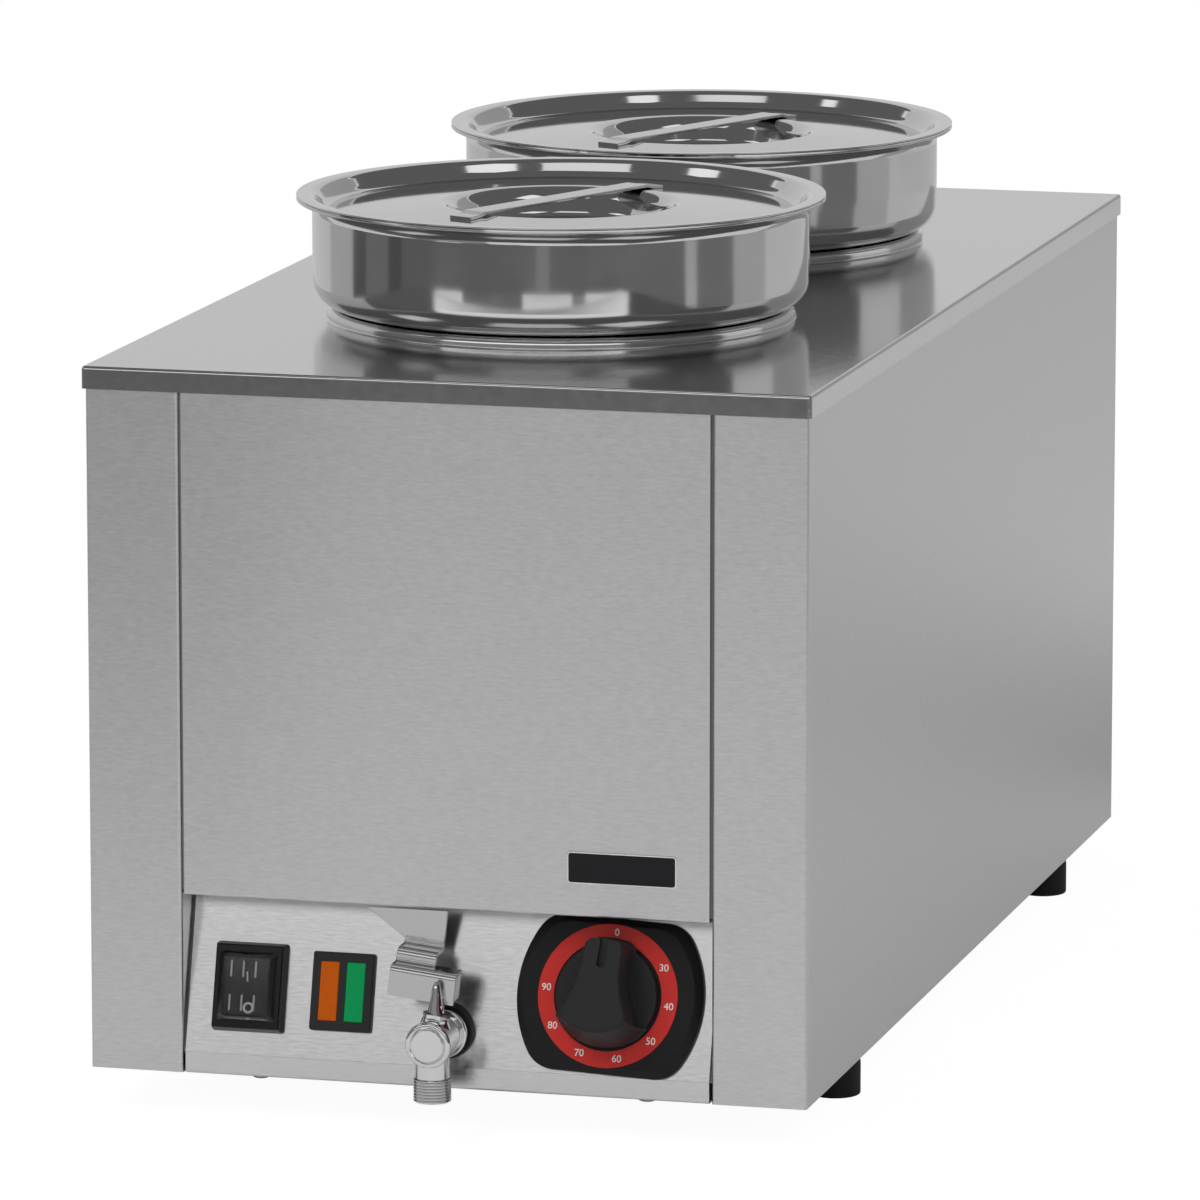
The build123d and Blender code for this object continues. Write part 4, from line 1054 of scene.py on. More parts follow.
@dataclass
class Pot:
    """One pot with its lid and strap handle."""

    tools: Tools
    end: str
    wall: float = 0.8
    corner: float = 14.0
    sides: int = 256
    crease: float = 50.0
    body_radius: float = 102.4
    neck_round: float = 1.0
    band_radius: float = 113.0
    flare: float = 7.0
    shoulder_z: float = 339.3
    shoulder_rise: float = 2.84
    shoulder_round: float = 12.2
    band_knee: float = 361.5
    band_lean: float = 0.58
    knee_round: float = 150.0
    lid_flange: float = 7.0
    lid_flange_round: float = 3.5
    lid_wall_run: float = 5.6
    lid_drop: float = 7.8
    lid_foot_round: float = 7.5
    lid_rise: float = 3.8
    crest_radius: float = 50.0
    crest_round: float = 9.0
    dish_run: float = 6.5
    dish_depth: float = 13.0
    dish_round: float = 5.0
    strap_angle: float = 65.8
    strap_width: float = 12.4
    strap_sheet: float = 1.4
    strap_seat: float = 62.0
    strap_foot: float = 7.0
    strap_bend: float = 4.0
    strap_round: float = 3.0
    strap_edge: float = 0.35
    strap_lift: float = 1.0
    strap_shift: float = 2.1

    @property
    def centre_y(self) -> float:
        """Where the pot's axis stands."""
        low, high = box_mm(f"pot_{self.end}")
        return (low.y + high.y) / 2

    def vessel(self) -> None:
        """Builds the pot from its turned profile."""
        low, high = box_mm(f"pot_{self.end}")
        rim_radius = (high.x - low.x) / 2
        rim_z = high.z - self.wall
        outside = rounded_path([
            (0.0, low.z, 0.0),
            (self.body_radius, low.z, self.corner),
            (self.body_radius, self.shoulder_z, self.neck_round),
            (self.band_radius - self.band_lean, self.shoulder_z + self.shoulder_rise, self.shoulder_round),
            (self.band_radius, self.band_knee, self.knee_round),
            (self.band_radius, rim_z, self.flare),
            (rim_radius - self.wall / 2, rim_z, 0.0),
        ], steps=16)
        inside = beside(outside, self.wall)
        middle = Vector(((outside[-1][0] + inside[-1][0]) / 2, (outside[-1][1] + inside[-1][1]) / 2))
        path = [*outside, *sheet_edge(middle, self.wall / 2), *reversed(inside)]
        path[-1] = (0.0, path[-1][1])
        self.turned("pot", path)

    def turned(self, what: str, path: list[Point]) -> None:
        """Turns the pot or its lid and hands it to the frame.

        Args:
            what: Which of the two it is.
            path: Its profile.
        """
        made = self.tools.lathe.turn(
            f"{self.end}_{what}", path, self.tools.palette[f"{what}_steel"],
            Matrix.Translation((0.0, self.centre_y, 0.0)), self.sides, math.radians(self.crease),
        )
        settle(made, f"{self.end}_{what}", f"{what}_steel", f"{what}_{self.end}")

    def lid(self) -> None:
        """Builds the lid: flat flange, sloping wall, shallow cone and sunk dish."""
        low, high = box_mm(f"lid_{self.end}")
        rim_radius = (high.x - low.x) / 2
        flange_z = high.z - self.wall
        throat = rim_radius - self.lid_flange
        edge_radius = throat - self.lid_wall_run
        edge_z = flange_z - self.lid_drop
        crest_z = edge_z + self.lid_rise
        floor_z = crest_z - self.dish_depth
        under = rounded_path([
            (rim_radius - self.wall / 2, flange_z, 0.0),
            (throat, flange_z, self.lid_flange_round),
            (edge_radius, edge_z, self.lid_foot_round),
            (self.crest_radius, crest_z, self.crest_round),
            (self.crest_radius - self.dish_run, floor_z, self.dish_round),
            (0.0, floor_z, 0.0),
        ], steps=14)
        over = beside(under, -self.wall)
        over[-1] = (0.0, over[-1][1])
        middle = (rim_radius - self.wall / 2, flange_z + self.wall / 2)
        self.turned("lid", [*reversed(over), *reversed(sheet_edge(middle, self.wall / 2)), *under])
        fall = self.lid_rise / (edge_radius - self.crest_radius)
        self.strap(lambda radius: crest_z + self.wall - (radius - self.crest_radius) * fall)

    def strap(self, cone_at: Callable[[float], float]) -> None:
        """Builds the strap handle across the dish.

        Args:
            cone_at: Height of the lid's upper face at a radius.
        """
        half = self.strap_seat + self.strap_foot
        seat_z = cone_at(self.strap_seat)
        rise = seat_z + self.strap_lift
        near = self.strap_seat - self.strap_bend
        bend = self.strap_round
        run = [(-half, cone_at(half), 0.0), (-self.strap_seat, seat_z, bend), (-near, rise, bend)]
        run += [(-x, z, r) for x, z, r in reversed(run)]

        def outline(inset: float) -> list[Point]:
            """Draws the strap's side view moved inwards."""
            line = rounded_path(run, steps=6)
            line[0] = (line[0][0] + inset, line[0][1])
            line[-1] = (line[-1][0] - inset, line[-1][1])
            return [*beside(line, inset), *reversed(beside(line, self.strap_sheet - inset))]

        angle = math.radians(self.strap_angle)
        along = Vector((math.cos(angle), math.sin(angle), 0.0))
        across = Z_AXIS.cross(along)
        face = place(Vector((0.0, self.centre_y, 0.0)) + across * self.strap_shift, along, Z_AXIS)
        side = self.strap_width / 2
        shape = Shape().slab(outline, -side, side, self.strap_edge, self.strap_edge, steps=3)
        strap = piece(f"{self.end}_lid_strap", shape, self.tools.palette["strap_steel"], face)
        settle(strap, f"{self.end}_lid", "strap_steel", f"lid_handle_{self.end}")

    def build(self) -> None:
        """Builds the pot, its lid and the strap."""
        self.vessel()
        self.lid()


@dataclass
class Panel:
    """The slanted control panel's face, on which the controls sit."""

    tilt: float = 15.0
    fold_rise: float = 9.6

    def face(self, x: float, y: float) -> Matrix:
        """Gives the placement of a control.

        Args:
            x: Place across the panel, in millimetres.
            y: Place up the slope from its lower fold.

        Returns:
            The placement, with z out of the panel.
        """
        low = box_mm("control_panel")[0]
        slope = math.radians(self.tilt)
        up = Vector((0.0, math.sin(slope), math.cos(slope)))
        origin = Vector((0.0, low.y, low.z + self.fold_rise))
        return place(origin + X_AXIS * x + up * y, X_AXIS, up)


@dataclass
class PowerSwitch:
    """The rocker switch under its clear cover."""

    tools: Tools
    panel: Panel
    spot: Point = (-91.5, 30.1)
    size: Point = (33.4, 39.8)
    bezel: float = 6.4
    bezel_round: float = 0.9
    bezel_steps: int = 5
    bevel: float = 1.7
    corner: float = 1.5
    window: Point = (21.4, 28.4)
    window_corner: float = 0.6
    window_edge: float = 0.3
    window_floor: float = 11.6
    cover_base: Point = (26.5, 30.6)
    cover_face: Point = (21.8, 27.4)
    cover_lip: float = 1.5
    cover_edge: float = 0.25
    cover_rise: float = 2.3
    cover_wall: float = 0.7
    cover_side_wall: float = 1.2
    cover_seat: float = 0.01
    rib_size: Point = (0.9, 7.2)
    rib_corner: float = 0.4
    rib_heights: Point = (-0.02, 0.12)
    rib_round: float = 0.1
    first_rib: Point = (-7.0, 7.6)
    rib_steps: Point = (5.6, -15.0)
    rocker_half: float = 12.6
    rocker_width: float = 19.4
    rocker_pivot: float = -1.0
    rocker_throw: float = 9.0
    rocker_rise: float = 5.6
    rocker_dip: float = 3.8
    rocker_steps: int = 24
    rocker_side: float = 1.5
    rocker_foot: Point = (6.0, 5.0)
    rocker_edge: float = 0.4
    mark_lift: float = 0.06
    mark_stroke: float = 1.0
    bar_stroke: float = 0.7
    bar_shift: float = 0.8
    bar_span: Point = (3.0, 7.4)
    ring_radius: float = 2.5
    ring_drop: float = 8.6
    ring_sides: int = 40

    def housing(self, face: Matrix) -> None:
        """Builds the housing with its bevelled bezel and the well for the rocker."""
        outer = rounded_rectangle(*self.size, self.corner)
        well = rounded_rectangle(*self.window, self.window_corner)
        rings = [at_height(outer(0.0), 0.0)]
        for step in range(self.bezel_steps + 1):
            turn = math.pi / 2 * step / self.bezel_steps
            inset = self.bevel + self.bezel_round * (1 - math.cos(turn)) - self.bezel_round / 2
            rings.append(at_height(outer(inset), self.bezel - self.bezel_round * (1 - math.sin(turn))))
        edge = self.window_edge
        for inset, z in ((-edge, self.bezel), (0.0, self.bezel - edge), (0.0, -self.window_floor)):
            rings.append(at_height(well(inset), z))
        housing = piece("switch_bezel", Shape().loft(rings), self.tools.palette["switch_black"], face)
        settle(housing, "casing", "switch_black", "switch_housing")

    def top_height(self, y: float) -> float:
        """Height of the rocker's hollow face at a place along it, before it tilts."""
        return self.rocker_dip + (self.rocker_rise - self.rocker_dip) * (y / self.rocker_half) ** 2

    def tilted(self, along: float, height: float) -> tuple[float, float]:
        """Turns a point of the rocker about its pivot and gives its place on the panel."""
        throw = math.radians(self.rocker_throw)
        y = along * math.cos(throw) - height * math.sin(throw)
        return y, self.rocker_pivot + along * math.sin(throw) + height * math.cos(throw)

    def rocker(self, face: Matrix) -> None:
        """Builds the rocker, tilted to its off side."""
        count = self.rocker_steps
        top = [self.rocker_half * (1 - 2 * step / count) for step in range(count + 1)]
        profile = [(y, self.top_height(y)) for y in top]
        foot, depth = self.rocker_foot
        profile += [(-self.rocker_half, self.rocker_side), (-foot, -depth), (foot, -depth)]
        profile.append((self.rocker_half, self.rocker_side))
        profile.reverse()
        outline = polygon_outline(profile)
        half = self.rocker_width / 2

        def to_panel(point: Vector) -> Vector:
            """Takes a point of the side view to the panel."""
            y, z = self.tilted(point.x, point.y)
            return Vector((point.z, y, z))

        edge = self.rocker_edge
        body = Shape().slab(outline, -half, half, edge, edge, steps=3).moved(to_panel)
        rocker = piece("switch_rocker_cap", body, self.tools.palette["switch_black"], face)
        settle(rocker, "power_rocker", "switch_black", "switch_rocker")
        self.marks(face)

    def marks(self, face: Matrix) -> None:
        """Builds the bar and the ring that are printed on the rocker."""
        white = self.tools.palette["dial_white"]

        def on_face(point: Vector) -> Vector:
            """Lays a flat mark on the rocker's hollow face."""
            y, z = self.tilted(point.y, self.top_height(point.y) + point.z * self.mark_lift)
            return Vector((point.x, y, z))

        bar = Shape()
        low, high = self.bar_span
        middle = (low + high) / 2
        right = self.bar_stroke / 2 - self.bar_shift
        left = -self.bar_stroke / 2 - self.bar_shift
        for start, end in ((low, middle), (middle, high)):
            corners = [(right, end), (left, end), (left, start), (right, start)]
            bar.slab(lambda inset, fixed=corners: fixed, 0.0, 1.0)
        rings = []
        outer, inner = self.ring_radius, self.ring_radius - self.mark_stroke
        for radius, height in ((outer, 0.0), (outer, 1.0), (inner, 1.0), (inner, 0.0)):
            circle = circle_outline(radius, self.ring_sides)(0.0)
            rings.append([Vector((x, y - self.ring_drop, height)) for x, y in circle])
        ring = Shape().tube(rings)
        marks = joined("switch_marks", [
            piece("on_mark", bar.moved(on_face), white, face),
            piece("off_mark", ring.moved(on_face), white, face),
        ])
        settle(marks, "power_rocker", "switch_black")

    def cover(self, face: Matrix) -> None:
        """Builds the clear cover and the ribs moulded on it, whose light grey is a painted highlight."""
        top = self.bezel + self.cover_rise
        base = rounded_rectangle(*self.cover_base, self.corner)
        crown = rounded_rectangle(*self.cover_face, self.corner)
        rings = [
            at_height(base(self.cover_lip), self.bezel),
            at_height(base(0.0), self.bezel),
            at_height(crown(0.0), top - self.cover_edge),
            at_height(crown(self.cover_edge), top),
        ]
        inner = [
            at_height(base(self.cover_lip), self.bezel + self.cover_seat),
            at_height(crown(self.cover_side_wall), top - self.cover_wall),
        ]
        shell = Shape().loft(rings)
        count = len(rings[0])
        shell.faces.pop(-2)
        first = len(shell.points)
        shell.points.extend(point for ring in inner for point in ring)
        for side in range(count):
            after = (side + 1) % count
            shell.faces.append((side, after, first + after, first + side))
            shell.faces.append((first + side, first + after, first + count + after, first + count + side))
        shell.faces.append(tuple(range(first + count, first + 2 * count)))
        cover = piece("switch_clear_cover", shell, self.tools.palette["clear_cover"], face)
        settle(cover, "casing", "clear_cover", "switch_cover")
        low, high = self.rib_heights
        outline = rounded_rectangle(*self.rib_size, self.rib_corner, steps=4)
        rib = Shape().slab(outline, top + low, top + high, 0.0, self.rib_round)
        first_place = face @ Matrix.Translation((*self.first_rib, 0.0))
        made = piece("cover_ribs", rib, self.tools.palette["rib_highlight_grey"], first_place)
        across = (face.to_3x3() @ X_AXIS) * self.rib_steps[0]
        down = (face.to_3x3() @ Y_AXIS) * self.rib_steps[1]
        settle(self.tools.rows.repeat(made, 3, 2, across, down), "casing", "clear_cover")

    def build(self) -> None:
        """Builds the whole switch."""
        face = self.panel.face(*self.spot)
        self.housing(face)
        self.rocker(face)
        self.cover(face)


@dataclass
class Indicator:
    """The twin indicator lamp."""

    tools: Tools
    panel: Panel
    spot: Point = (-49.0, 30.3)
    bezel: float = 2.6
    pocket: float = 1.8
    lens_size: Point = (8.7, 26.4)
    lens_pitch: float = 12.0
    lens_height: float = 1.9
    lens_play: float = 0.1
    lens_corner: float = 0.3
    lens_round: float = 0.5

    def build(self) -> None:
        """Builds both lenses; the housing is the CAD node in its own finish."""
        bottom = self.bezel - self.pocket
        width, height = (length - self.lens_play for length in self.lens_size)
        for colour, side in (("amber", -1), ("green", 1)):
            face = self.panel.face(self.spot[0] + side * self.lens_pitch / 2, self.spot[1])
            outline = rounded_rectangle(width, height, self.lens_corner)
            shape = Shape().slab(outline, bottom, bottom + self.lens_height, 0.0, self.lens_round)
            # Each lens finish glows faintly, painted light for lamps that are off.
            lens = piece(f"{colour}_window", shape, self.tools.palette[colour], face)
            settle(lens, "casing", colour, f"{colour}_lens")


@dataclass
class Thermostat:
    """The thermostat's plate, red dial ring and knob."""

    tools: Tools
    panel: Panel
    spot: Point = (73.1, 35.2)
    width: float = 84.4
    height: float = 68.8
    corner: float = 14.0
    bow: float = 54.0
    face_bow: float = 42.0
    side_steps: int = 16
    corner_steps: int = 10
    plate_turn: float = 2.6
    thickness: float = 6.0
    edge: float = 2.4
    bevel: float = 3.2
    ring_outer: float = 31.6
    ring_inner: float = 24.3
    ring_sheet: float = 0.4
    ring_edge: Point = (0.15, 0.1)
    ring_sides: int = 160
    knob_radius: float = 22.8
    knob_sides: int = 128
    knob_turn: float = 5.0
    shaft_radius: float = 3.0
    skirt: Point = (7.0, 10.0)
    skirt_rounds: Point = (0.4, 0.7)
    tip: Point = (9.6, 24.0)
    tip_round: float = 4.0
    tip_crown: float = 0.5
    tip_rise: float = 26.6
    brow_rise: float = 30.0
    brow_y: float = -17.0
    heel_rise: float = 12.0
    heel_centre: float = 5.0
    waist: Point = (10.6, 6.0)
    hip: Point = (2.8, 2.5)
    heel_spread: float = 31.75
    heel_steps: int = 24
    curve_steps: int = 12
    tip_steps: int = 6
    crown_steps: int = 4
    side_draft: float = 0.09
    soft_edge: float = 1.3
    soft_steps: int = 4
    grip_sink: float = 0.5
    grip_feet: tuple[Point, ...] = ((0.0, 1.1), (0.06, 0.2))
    grip_shares: tuple[float, ...] = (0.1, 0.35, 0.6, 0.8)
    groove: Point = (3.8, 12.4)
    groove_corner: float = 0.45
    groove_depth: float = 1.7
    groove_slope: float = 0.03
    groove_clear: float = 3.0
    figure_radius: float = 28.0
    figure_size: float = 4.4
    figure_weight: float = 0.045
    first_angle: float = 5.0
    thirty_angle: float = 61.2
    figure_step: float = 35.6

    def plate_outline(self, inset: float, bow: float) -> list[Point]:
        """Draws the plate: bowed sides, flats above and below, round corners.

        Args:
            inset: How far the plate's sides are drawn in.
            bow: Radius of the bowed sides.

        Returns:
            The outline, anticlockwise.
        """
        centre = self.width / 2 - inset - bow
        y = self.height / 2 - inset - self.corner
        reach = math.sqrt((bow - self.corner) ** 2 - y**2)
        swing = math.atan2(y, reach)
        quarter = []
        for step in range(self.side_steps + 1):
            turn = swing * step / self.side_steps
            quarter.append((centre + bow * math.cos(turn), bow * math.sin(turn)))
        for step in range(1, self.corner_steps + 1):
            turn = swing + (math.pi / 2 - swing) * step / self.corner_steps
            x = centre + reach + self.corner * math.cos(turn)
            quarter.append((x, y + self.corner * math.sin(turn)))
        upper = quarter + [(-px, py) for px, py in reversed(quarter)]
        return upper + [(-px, -py) for px, py in upper[1:-1]]

    def plate(self, face: Matrix) -> None:
        """Builds the black plate with its sloping edge."""
        low = self.plate_outline(0.0, self.bow)
        high = self.plate_outline(self.bevel, self.face_bow)
        # Each level has its share of the way from the foot's outline to the face's, and its height.
        foot, top = self.edge, self.thickness
        levels = (
            (0.0, 0.0), (0.0, foot - 0.3), (0.06, foot + 0.25),
            (0.86, top - 0.5), (0.96, top - 0.12), (1.1, top),
        )
        rings = []
        for share, z in levels:
            rings.append([Vector((*Vector(a).lerp(Vector(b), share), z)) for a, b in zip(low, high)])
        turned = face @ Matrix.Rotation(math.radians(-self.plate_turn), 4, "Z")
        plate = piece("dial_plate", Shape().loft(rings), self.tools.palette["black_plastic"], turned)
        settle(plate, "casing", "black_plastic", "thermostat_plate")

    def ring(self, face: Matrix) -> None:
        """Builds the red ring with its figures."""
        low = self.thickness
        high = low + self.ring_sheet
        inset, drop = self.ring_edge
        path = [(self.ring_inner, low), (self.ring_outer, low), (self.ring_outer, high - drop)]
        path += [(self.ring_outer - inset, high), (self.ring_inner, high), (self.ring_inner, low)]
        red = self.tools.palette["dial_red"]
        ring = self.tools.lathe.turn("red_dial_ring", path, red, face, self.ring_sides)
        settle(ring, "casing", "dial_red", "dial_ring")
        self.figures(face, high)

    def figures(self, face: Matrix, height: float) -> None:
        """Builds the white figures at the height of the ring's upper face."""
        white = self.tools.palette["dial_white"]
        figures = []
        for index, label in enumerate(("0", "30", "40", "50", "60", "70", "80", "90")):
            angle = self.first_angle if index == 0 else self.thirty_angle + (index - 1) * self.figure_step
            turn = math.radians(angle)
            words = bpy.data.curves.new(f"figure_{label}", "FONT")
            words.body = label
            words.align_x = "CENTER"
            words.align_y = "CENTER"
            words.size = self.figure_size
            words.bevel_depth = self.figure_weight
            words.bevel_resolution = 0
            text = bpy.data.objects.new(f"figure_{label}", words)
            bpy.context.scene.collection.objects.link(text)
            graph = bpy.context.evaluated_depsgraph_get()
            mesh = bpy.data.meshes.new_from_object(text.evaluated_get(graph))
            bpy.data.objects.remove(text)
            bpy.data.curves.remove(words)
            spot = Matrix.Translation((
                self.figure_radius * math.sin(turn), self.figure_radius * math.cos(turn), height
            ))
            mesh.transform(Matrix.Scale(MM, 4) @ face @ spot)
            mesh.materials.clear()
            mesh.materials.append(white)
            figures.append(linked(f"figure_{label}", mesh))
        settle(joined("dial_figures", figures), "casing", "dial_red")

    def grip_outline(self) -> list[Point]:
        """Draws the grip from above: narrow waist, broad round heel."""
        spread = math.radians(self.heel_spread)
        heel = Vector((self.knob_radius * math.cos(spread), -self.knob_radius * math.sin(spread)))
        flare = Vector((heel.x - self.hip[0], heel.y + self.hip[1]))
        knots = [heel, flare, Vector(self.waist), Vector(self.tip)]
        ends = [2 * knots[0] - knots[1], *knots, 2 * knots[-1] - knots[-2]]
        right: list[Point] = []
        for before, start, end, after in zip(ends, ends[1:], ends[2:], ends[3:]):
            for step in range(self.curve_steps):
                t = step / self.curve_steps
                spot = 0.5 * (
                    2 * start + (end - before) * t + (2 * before - 5 * start + 4 * end - after) * t**2
                    + (3 * start - before - 3 * end + after) * t**3
                )
                right.append(tuple(spot))
        flat = Vector(self.tip) - Vector((self.tip_round, self.tip_round))
        half = [spot for spot in right if spot[1] < flat.y]
        for step in range(self.tip_steps + 1):
            turn = math.pi / 2 * step / self.tip_steps
            x = flat.x + self.tip_round * math.cos(turn)
            half.append((x, flat.y + self.tip_round * math.sin(turn)))
        for step in range(1, self.crown_steps):
            share = 1 - step / self.crown_steps
            half.append((flat.x * share, self.tip[1] + self.tip_crown * (1 - share**2)))
        heel_arc = []
        for step in range(1, self.heel_steps):
            turn = -math.pi + spread + (math.pi - 2 * spread) * step / self.heel_steps
            heel_arc.append((self.knob_radius * math.cos(turn), self.knob_radius * math.sin(turn)))
        crown = [(0.0, self.tip[1] + self.tip_crown)]
        return half + crown + [(-x, y) for x, y in reversed(half)] + heel_arc

    def grip_ring(self, share: float, soft: float = 0.0, foot: float = 0.0) -> list[Vector]:
        """Draws the grip's outline at one height, inside the cone of its heel.

        Args:
            share: Height, 0 at the skirt and 1 at the sloping top.
            soft: Turn into the rounded top edge, 0 to a quarter turn.
            foot: How far the grip runs out over the skirt.

        Returns:
            The outline's points.
        """
        inset = self.soft_edge * (1 - math.cos(soft)) - foot
        drop = self.soft_edge * (1 - math.sin(soft))
        low = self.skirt[1] - self.grip_sink
        slope = (self.brow_rise - self.tip_rise) / (self.tip[1] - self.brow_y)
        points = []
        for x, y in polygon_outline(self.grip_outline())(inset):
            spot = Vector((x * (1 - self.side_draft * share), y - self.heel_centre))
            top = self.tip_rise + (self.tip[1] - y) * slope - drop
            height = low + (top - low) * share
            climb = max(height - self.heel_rise, 0.0) / (self.brow_rise - self.heel_rise)
            reach = self.knob_radius + self.heel_centre - climb * (self.knob_radius + self.brow_y)
            reach -= max(inset, 0.0)
            if spot.y < 0.0 and spot.length > reach:
                spot *= reach / spot.length
            y = spot.y + self.heel_centre
            top = self.tip_rise + (self.tip[1] - y) * slope - drop
            points.append(Vector((spot.x, y, low + (top - low) * share)))
        return points

    def knob(self, face: Matrix) -> None:
        """Builds the knob: a round skirt and the grip with its pointer groove."""
        black = self.tools.palette["knob_black"]
        turned = face @ Matrix.Rotation(math.radians(-self.knob_turn), 4, "Z")
        low, high = self.skirt
        low_round, high_round = self.skirt_rounds
        path = rounded_path([
            (self.shaft_radius, low, 0.0), (self.knob_radius, low, low_round),
            (self.knob_radius, high, high_round), (self.shaft_radius, high, 0.0),
        ])
        path.append(path[0])
        skirt = self.tools.lathe.turn("knob_skirt", path, black, turned, self.knob_sides)
        rings = [self.grip_ring(share, foot=foot) for share, foot in self.grip_feet]
        rings += [self.grip_ring(share) for share in self.grip_shares]
        rings += [
            self.grip_ring(1.0, math.pi / 2 * step / self.soft_steps) for step in range(self.soft_steps + 1)
        ]
        grip = plain("knob_grip", Shape().loft(rings))
        grip.data.materials.append(black)
        width, length = self.groove
        slot = Shape().slab(
            rounded_rectangle(width, 2 * length, width * self.groove_corner),
            self.tip_rise - self.groove_depth, self.brow_rise + self.groove_clear,
        )
        slot.moved(lambda p: Vector((p.x, p.y + self.tip[1], p.z - p.y * self.groove_slope)))
        cutter = plain("groove_cutter", slot)
        cutter_mesh = cutter.data
        cut = grip.modifiers.new("groove", "BOOLEAN")
        cut.object = cutter
        cut.solver = "EXACT"
        baked(grip)
        bpy.data.objects.remove(cutter)
        bpy.data.meshes.remove(cutter_mesh)
        grip.data.transform(Matrix.Scale(MM, 4) @ turned)
        tidy_mesh(grip.data)
        settle(joined("thermostat_knob_cap", [skirt, grip]), "thermostat_knob", "black_plastic", "knob")

    def build(self) -> None:
        """Builds plate, ring and knob."""
        face = self.panel.face(*self.spot)
        self.plate(face)
        self.ring(face)
        self.knob(face)


@dataclass
class DrainTap:
    """The chromed drain tap with its bent sheet lever."""

    tools: Tools
    axis_z: float = 44.0
    roll: float = 6.5
    stem_y: float = -347.2
    spout_y: float = -349.6
    washer_face: float = -328.6
    barrel_end: float = -353.95
    round_sides: int = 96
    flange_radius: float = 10.9
    flange_length: float = 5.0
    flange_rounds: Point = (0.2, 0.8)
    barrel_radius: float = 9.2
    barrel_round: float = 0.5
    cap_radius: float = 10.3
    cap_front: float = -357.95
    cap_sink: float = 0.05
    cap_fall: float = 0.2
    cap_rounds: Point = (0.3, 1.5)
    cap_groove: Point = (0.9, 0.2)
    cap_groove_depth: float = 0.5
    cap_groove_rounds: Point = (0.3, 0.2)
    cap_boss: float = 7.4
    cap_boss_draft: float = 0.2
    cap_boss_height: float = 0.6
    cap_boss_round: float = 0.5
    neck_radius: float = 7.6
    neck_round: float = 0.3
    thread_radius: float = 8.33
    thread_root: float = 7.5
    thread_pitch: float = 1.337
    thread_turns: int = 8
    thread_top: float = 28.5
    thread_lead: float = 0.3
    thread_crest: Point = (0.45, 0.75)
    thread_round: float = 0.16
    thread_gap: float = 0.05
    bore: float = 5.0
    bore_depth: float = 12.0
    bore_round: float = 0.2
    boss_radius: float = 5.6
    boss_root: float = 4.0
    boss_flare: Point = (1.2, 6.5)
    boss_waist: Point = (9.0, 1.0)
    boss_top: float = 10.6
    boss_round: float = 0.4
    boss_sides: int = 64
    nut_size: float = 6.2
    nut_height: float = 2.2
    nut_rounds: Point = (0.3, 0.4)
    fin_foot: float = 13.2
    fin_shift: float = 0.5
    fin_lean: float = 0.07
    fin_back: float = 0.2
    fin_sides: int = 40
    fin_crease: float = 60.0
    lever_sheet: float = 1.8
    lever_edge: float = 0.3
    lever_left: float = -24.0
    lever_right: float = 6.0
    lever_neck: float = -6.0
    tab_bottom: float = 16.2
    plate_top: float = 30.2
    riser_top: float = 36.0
    tab_y: float = -343.3
    riser_y: float = -334.5
    grip_y: float = -323.3
    grip_left: float = -43.4
    grip_trim: float = 0.35
    grip_foot: float = 2.6
    grip_top: float = 97.4
    bend: float = 3.2
    step_lap: float = 4.0
    cheek_drop: float = 12.2
    cheek_edge: float = 0.2

    @property
    def stem_dir(self) -> Vector:
        """Direction of the tap's stem, which leans a little to the right."""
        return Vector((math.sin(math.radians(self.roll)), 0.0, math.cos(math.radians(self.roll))))

    @property
    def across(self) -> Vector:
        """Direction across the leaning tap."""
        return Vector((math.cos(math.radians(self.roll)), 0.0, -math.sin(math.radians(self.roll))))

    def body(self) -> None:
        """Builds the cast body: flange, barrel, neck, threaded spout and stem boss."""
        chrome = self.tools.palette["tap_chrome"]
        lathe = self.tools.lathe
        forward = place(Vector((0.0, self.washer_face, self.axis_z)), X_AXIS, Z_AXIS)
        length = self.washer_face - self.barrel_end
        barrel = lathe.turn("tap_barrel", rounded_path([
            (0.0, 0.0, 0.0), (self.barrel_radius, 0.0, 0.0),
            (self.barrel_radius, length, self.barrel_round), (0.0, length, 0.0),
        ]), chrome, forward, self.round_sides)
        back_round, front_round = self.flange_rounds
        flange = lathe.turn("tap_flange", rounded_path([
            (0.0, 0.0, 0.0), (self.flange_radius, 0.0, back_round),
            (self.flange_radius, self.flange_length, front_round), (0.0, self.flange_length, 0.0),
        ]), chrome, forward, self.round_sides)
        downward = Matrix.Translation((0.0, self.spout_y, 0.0))
        spout_path = rounded_path(self.spout_corners(), 6)
        spout = lathe.turn("tap_spout", spout_path, chrome, downward, self.round_sides)
        upright = place(Vector((0.0, self.stem_y, self.axis_z)), self.across, Y_AXIS)
        flare, flare_height = self.boss_flare
        boss = lathe.turn("tap_boss", rounded_path([
            (0.0, self.boss_root, 0.0), (self.boss_radius + flare, flare_height, 0.0),
            (self.boss_radius, *self.boss_waist), (self.boss_radius, self.boss_top, self.boss_round),
            (0.0, self.boss_top, 0.0),
        ]), chrome, upright, self.boss_sides)
        settle(joined("tap_casting", [barrel, flange, spout, boss]), "casing", "tap_chrome", "tap_body")
        hexagon = circle_outline(self.nut_size, HEX_SIDES)
        nut_top = self.boss_top + self.nut_height
        nut_shape = Shape().slab(hexagon, self.boss_top, nut_top, *self.nut_rounds)
        nut = piece("tap_nut", nut_shape, chrome, upright)
        settle(nut, "casing", "tap_chrome", "tap_packing_nut")

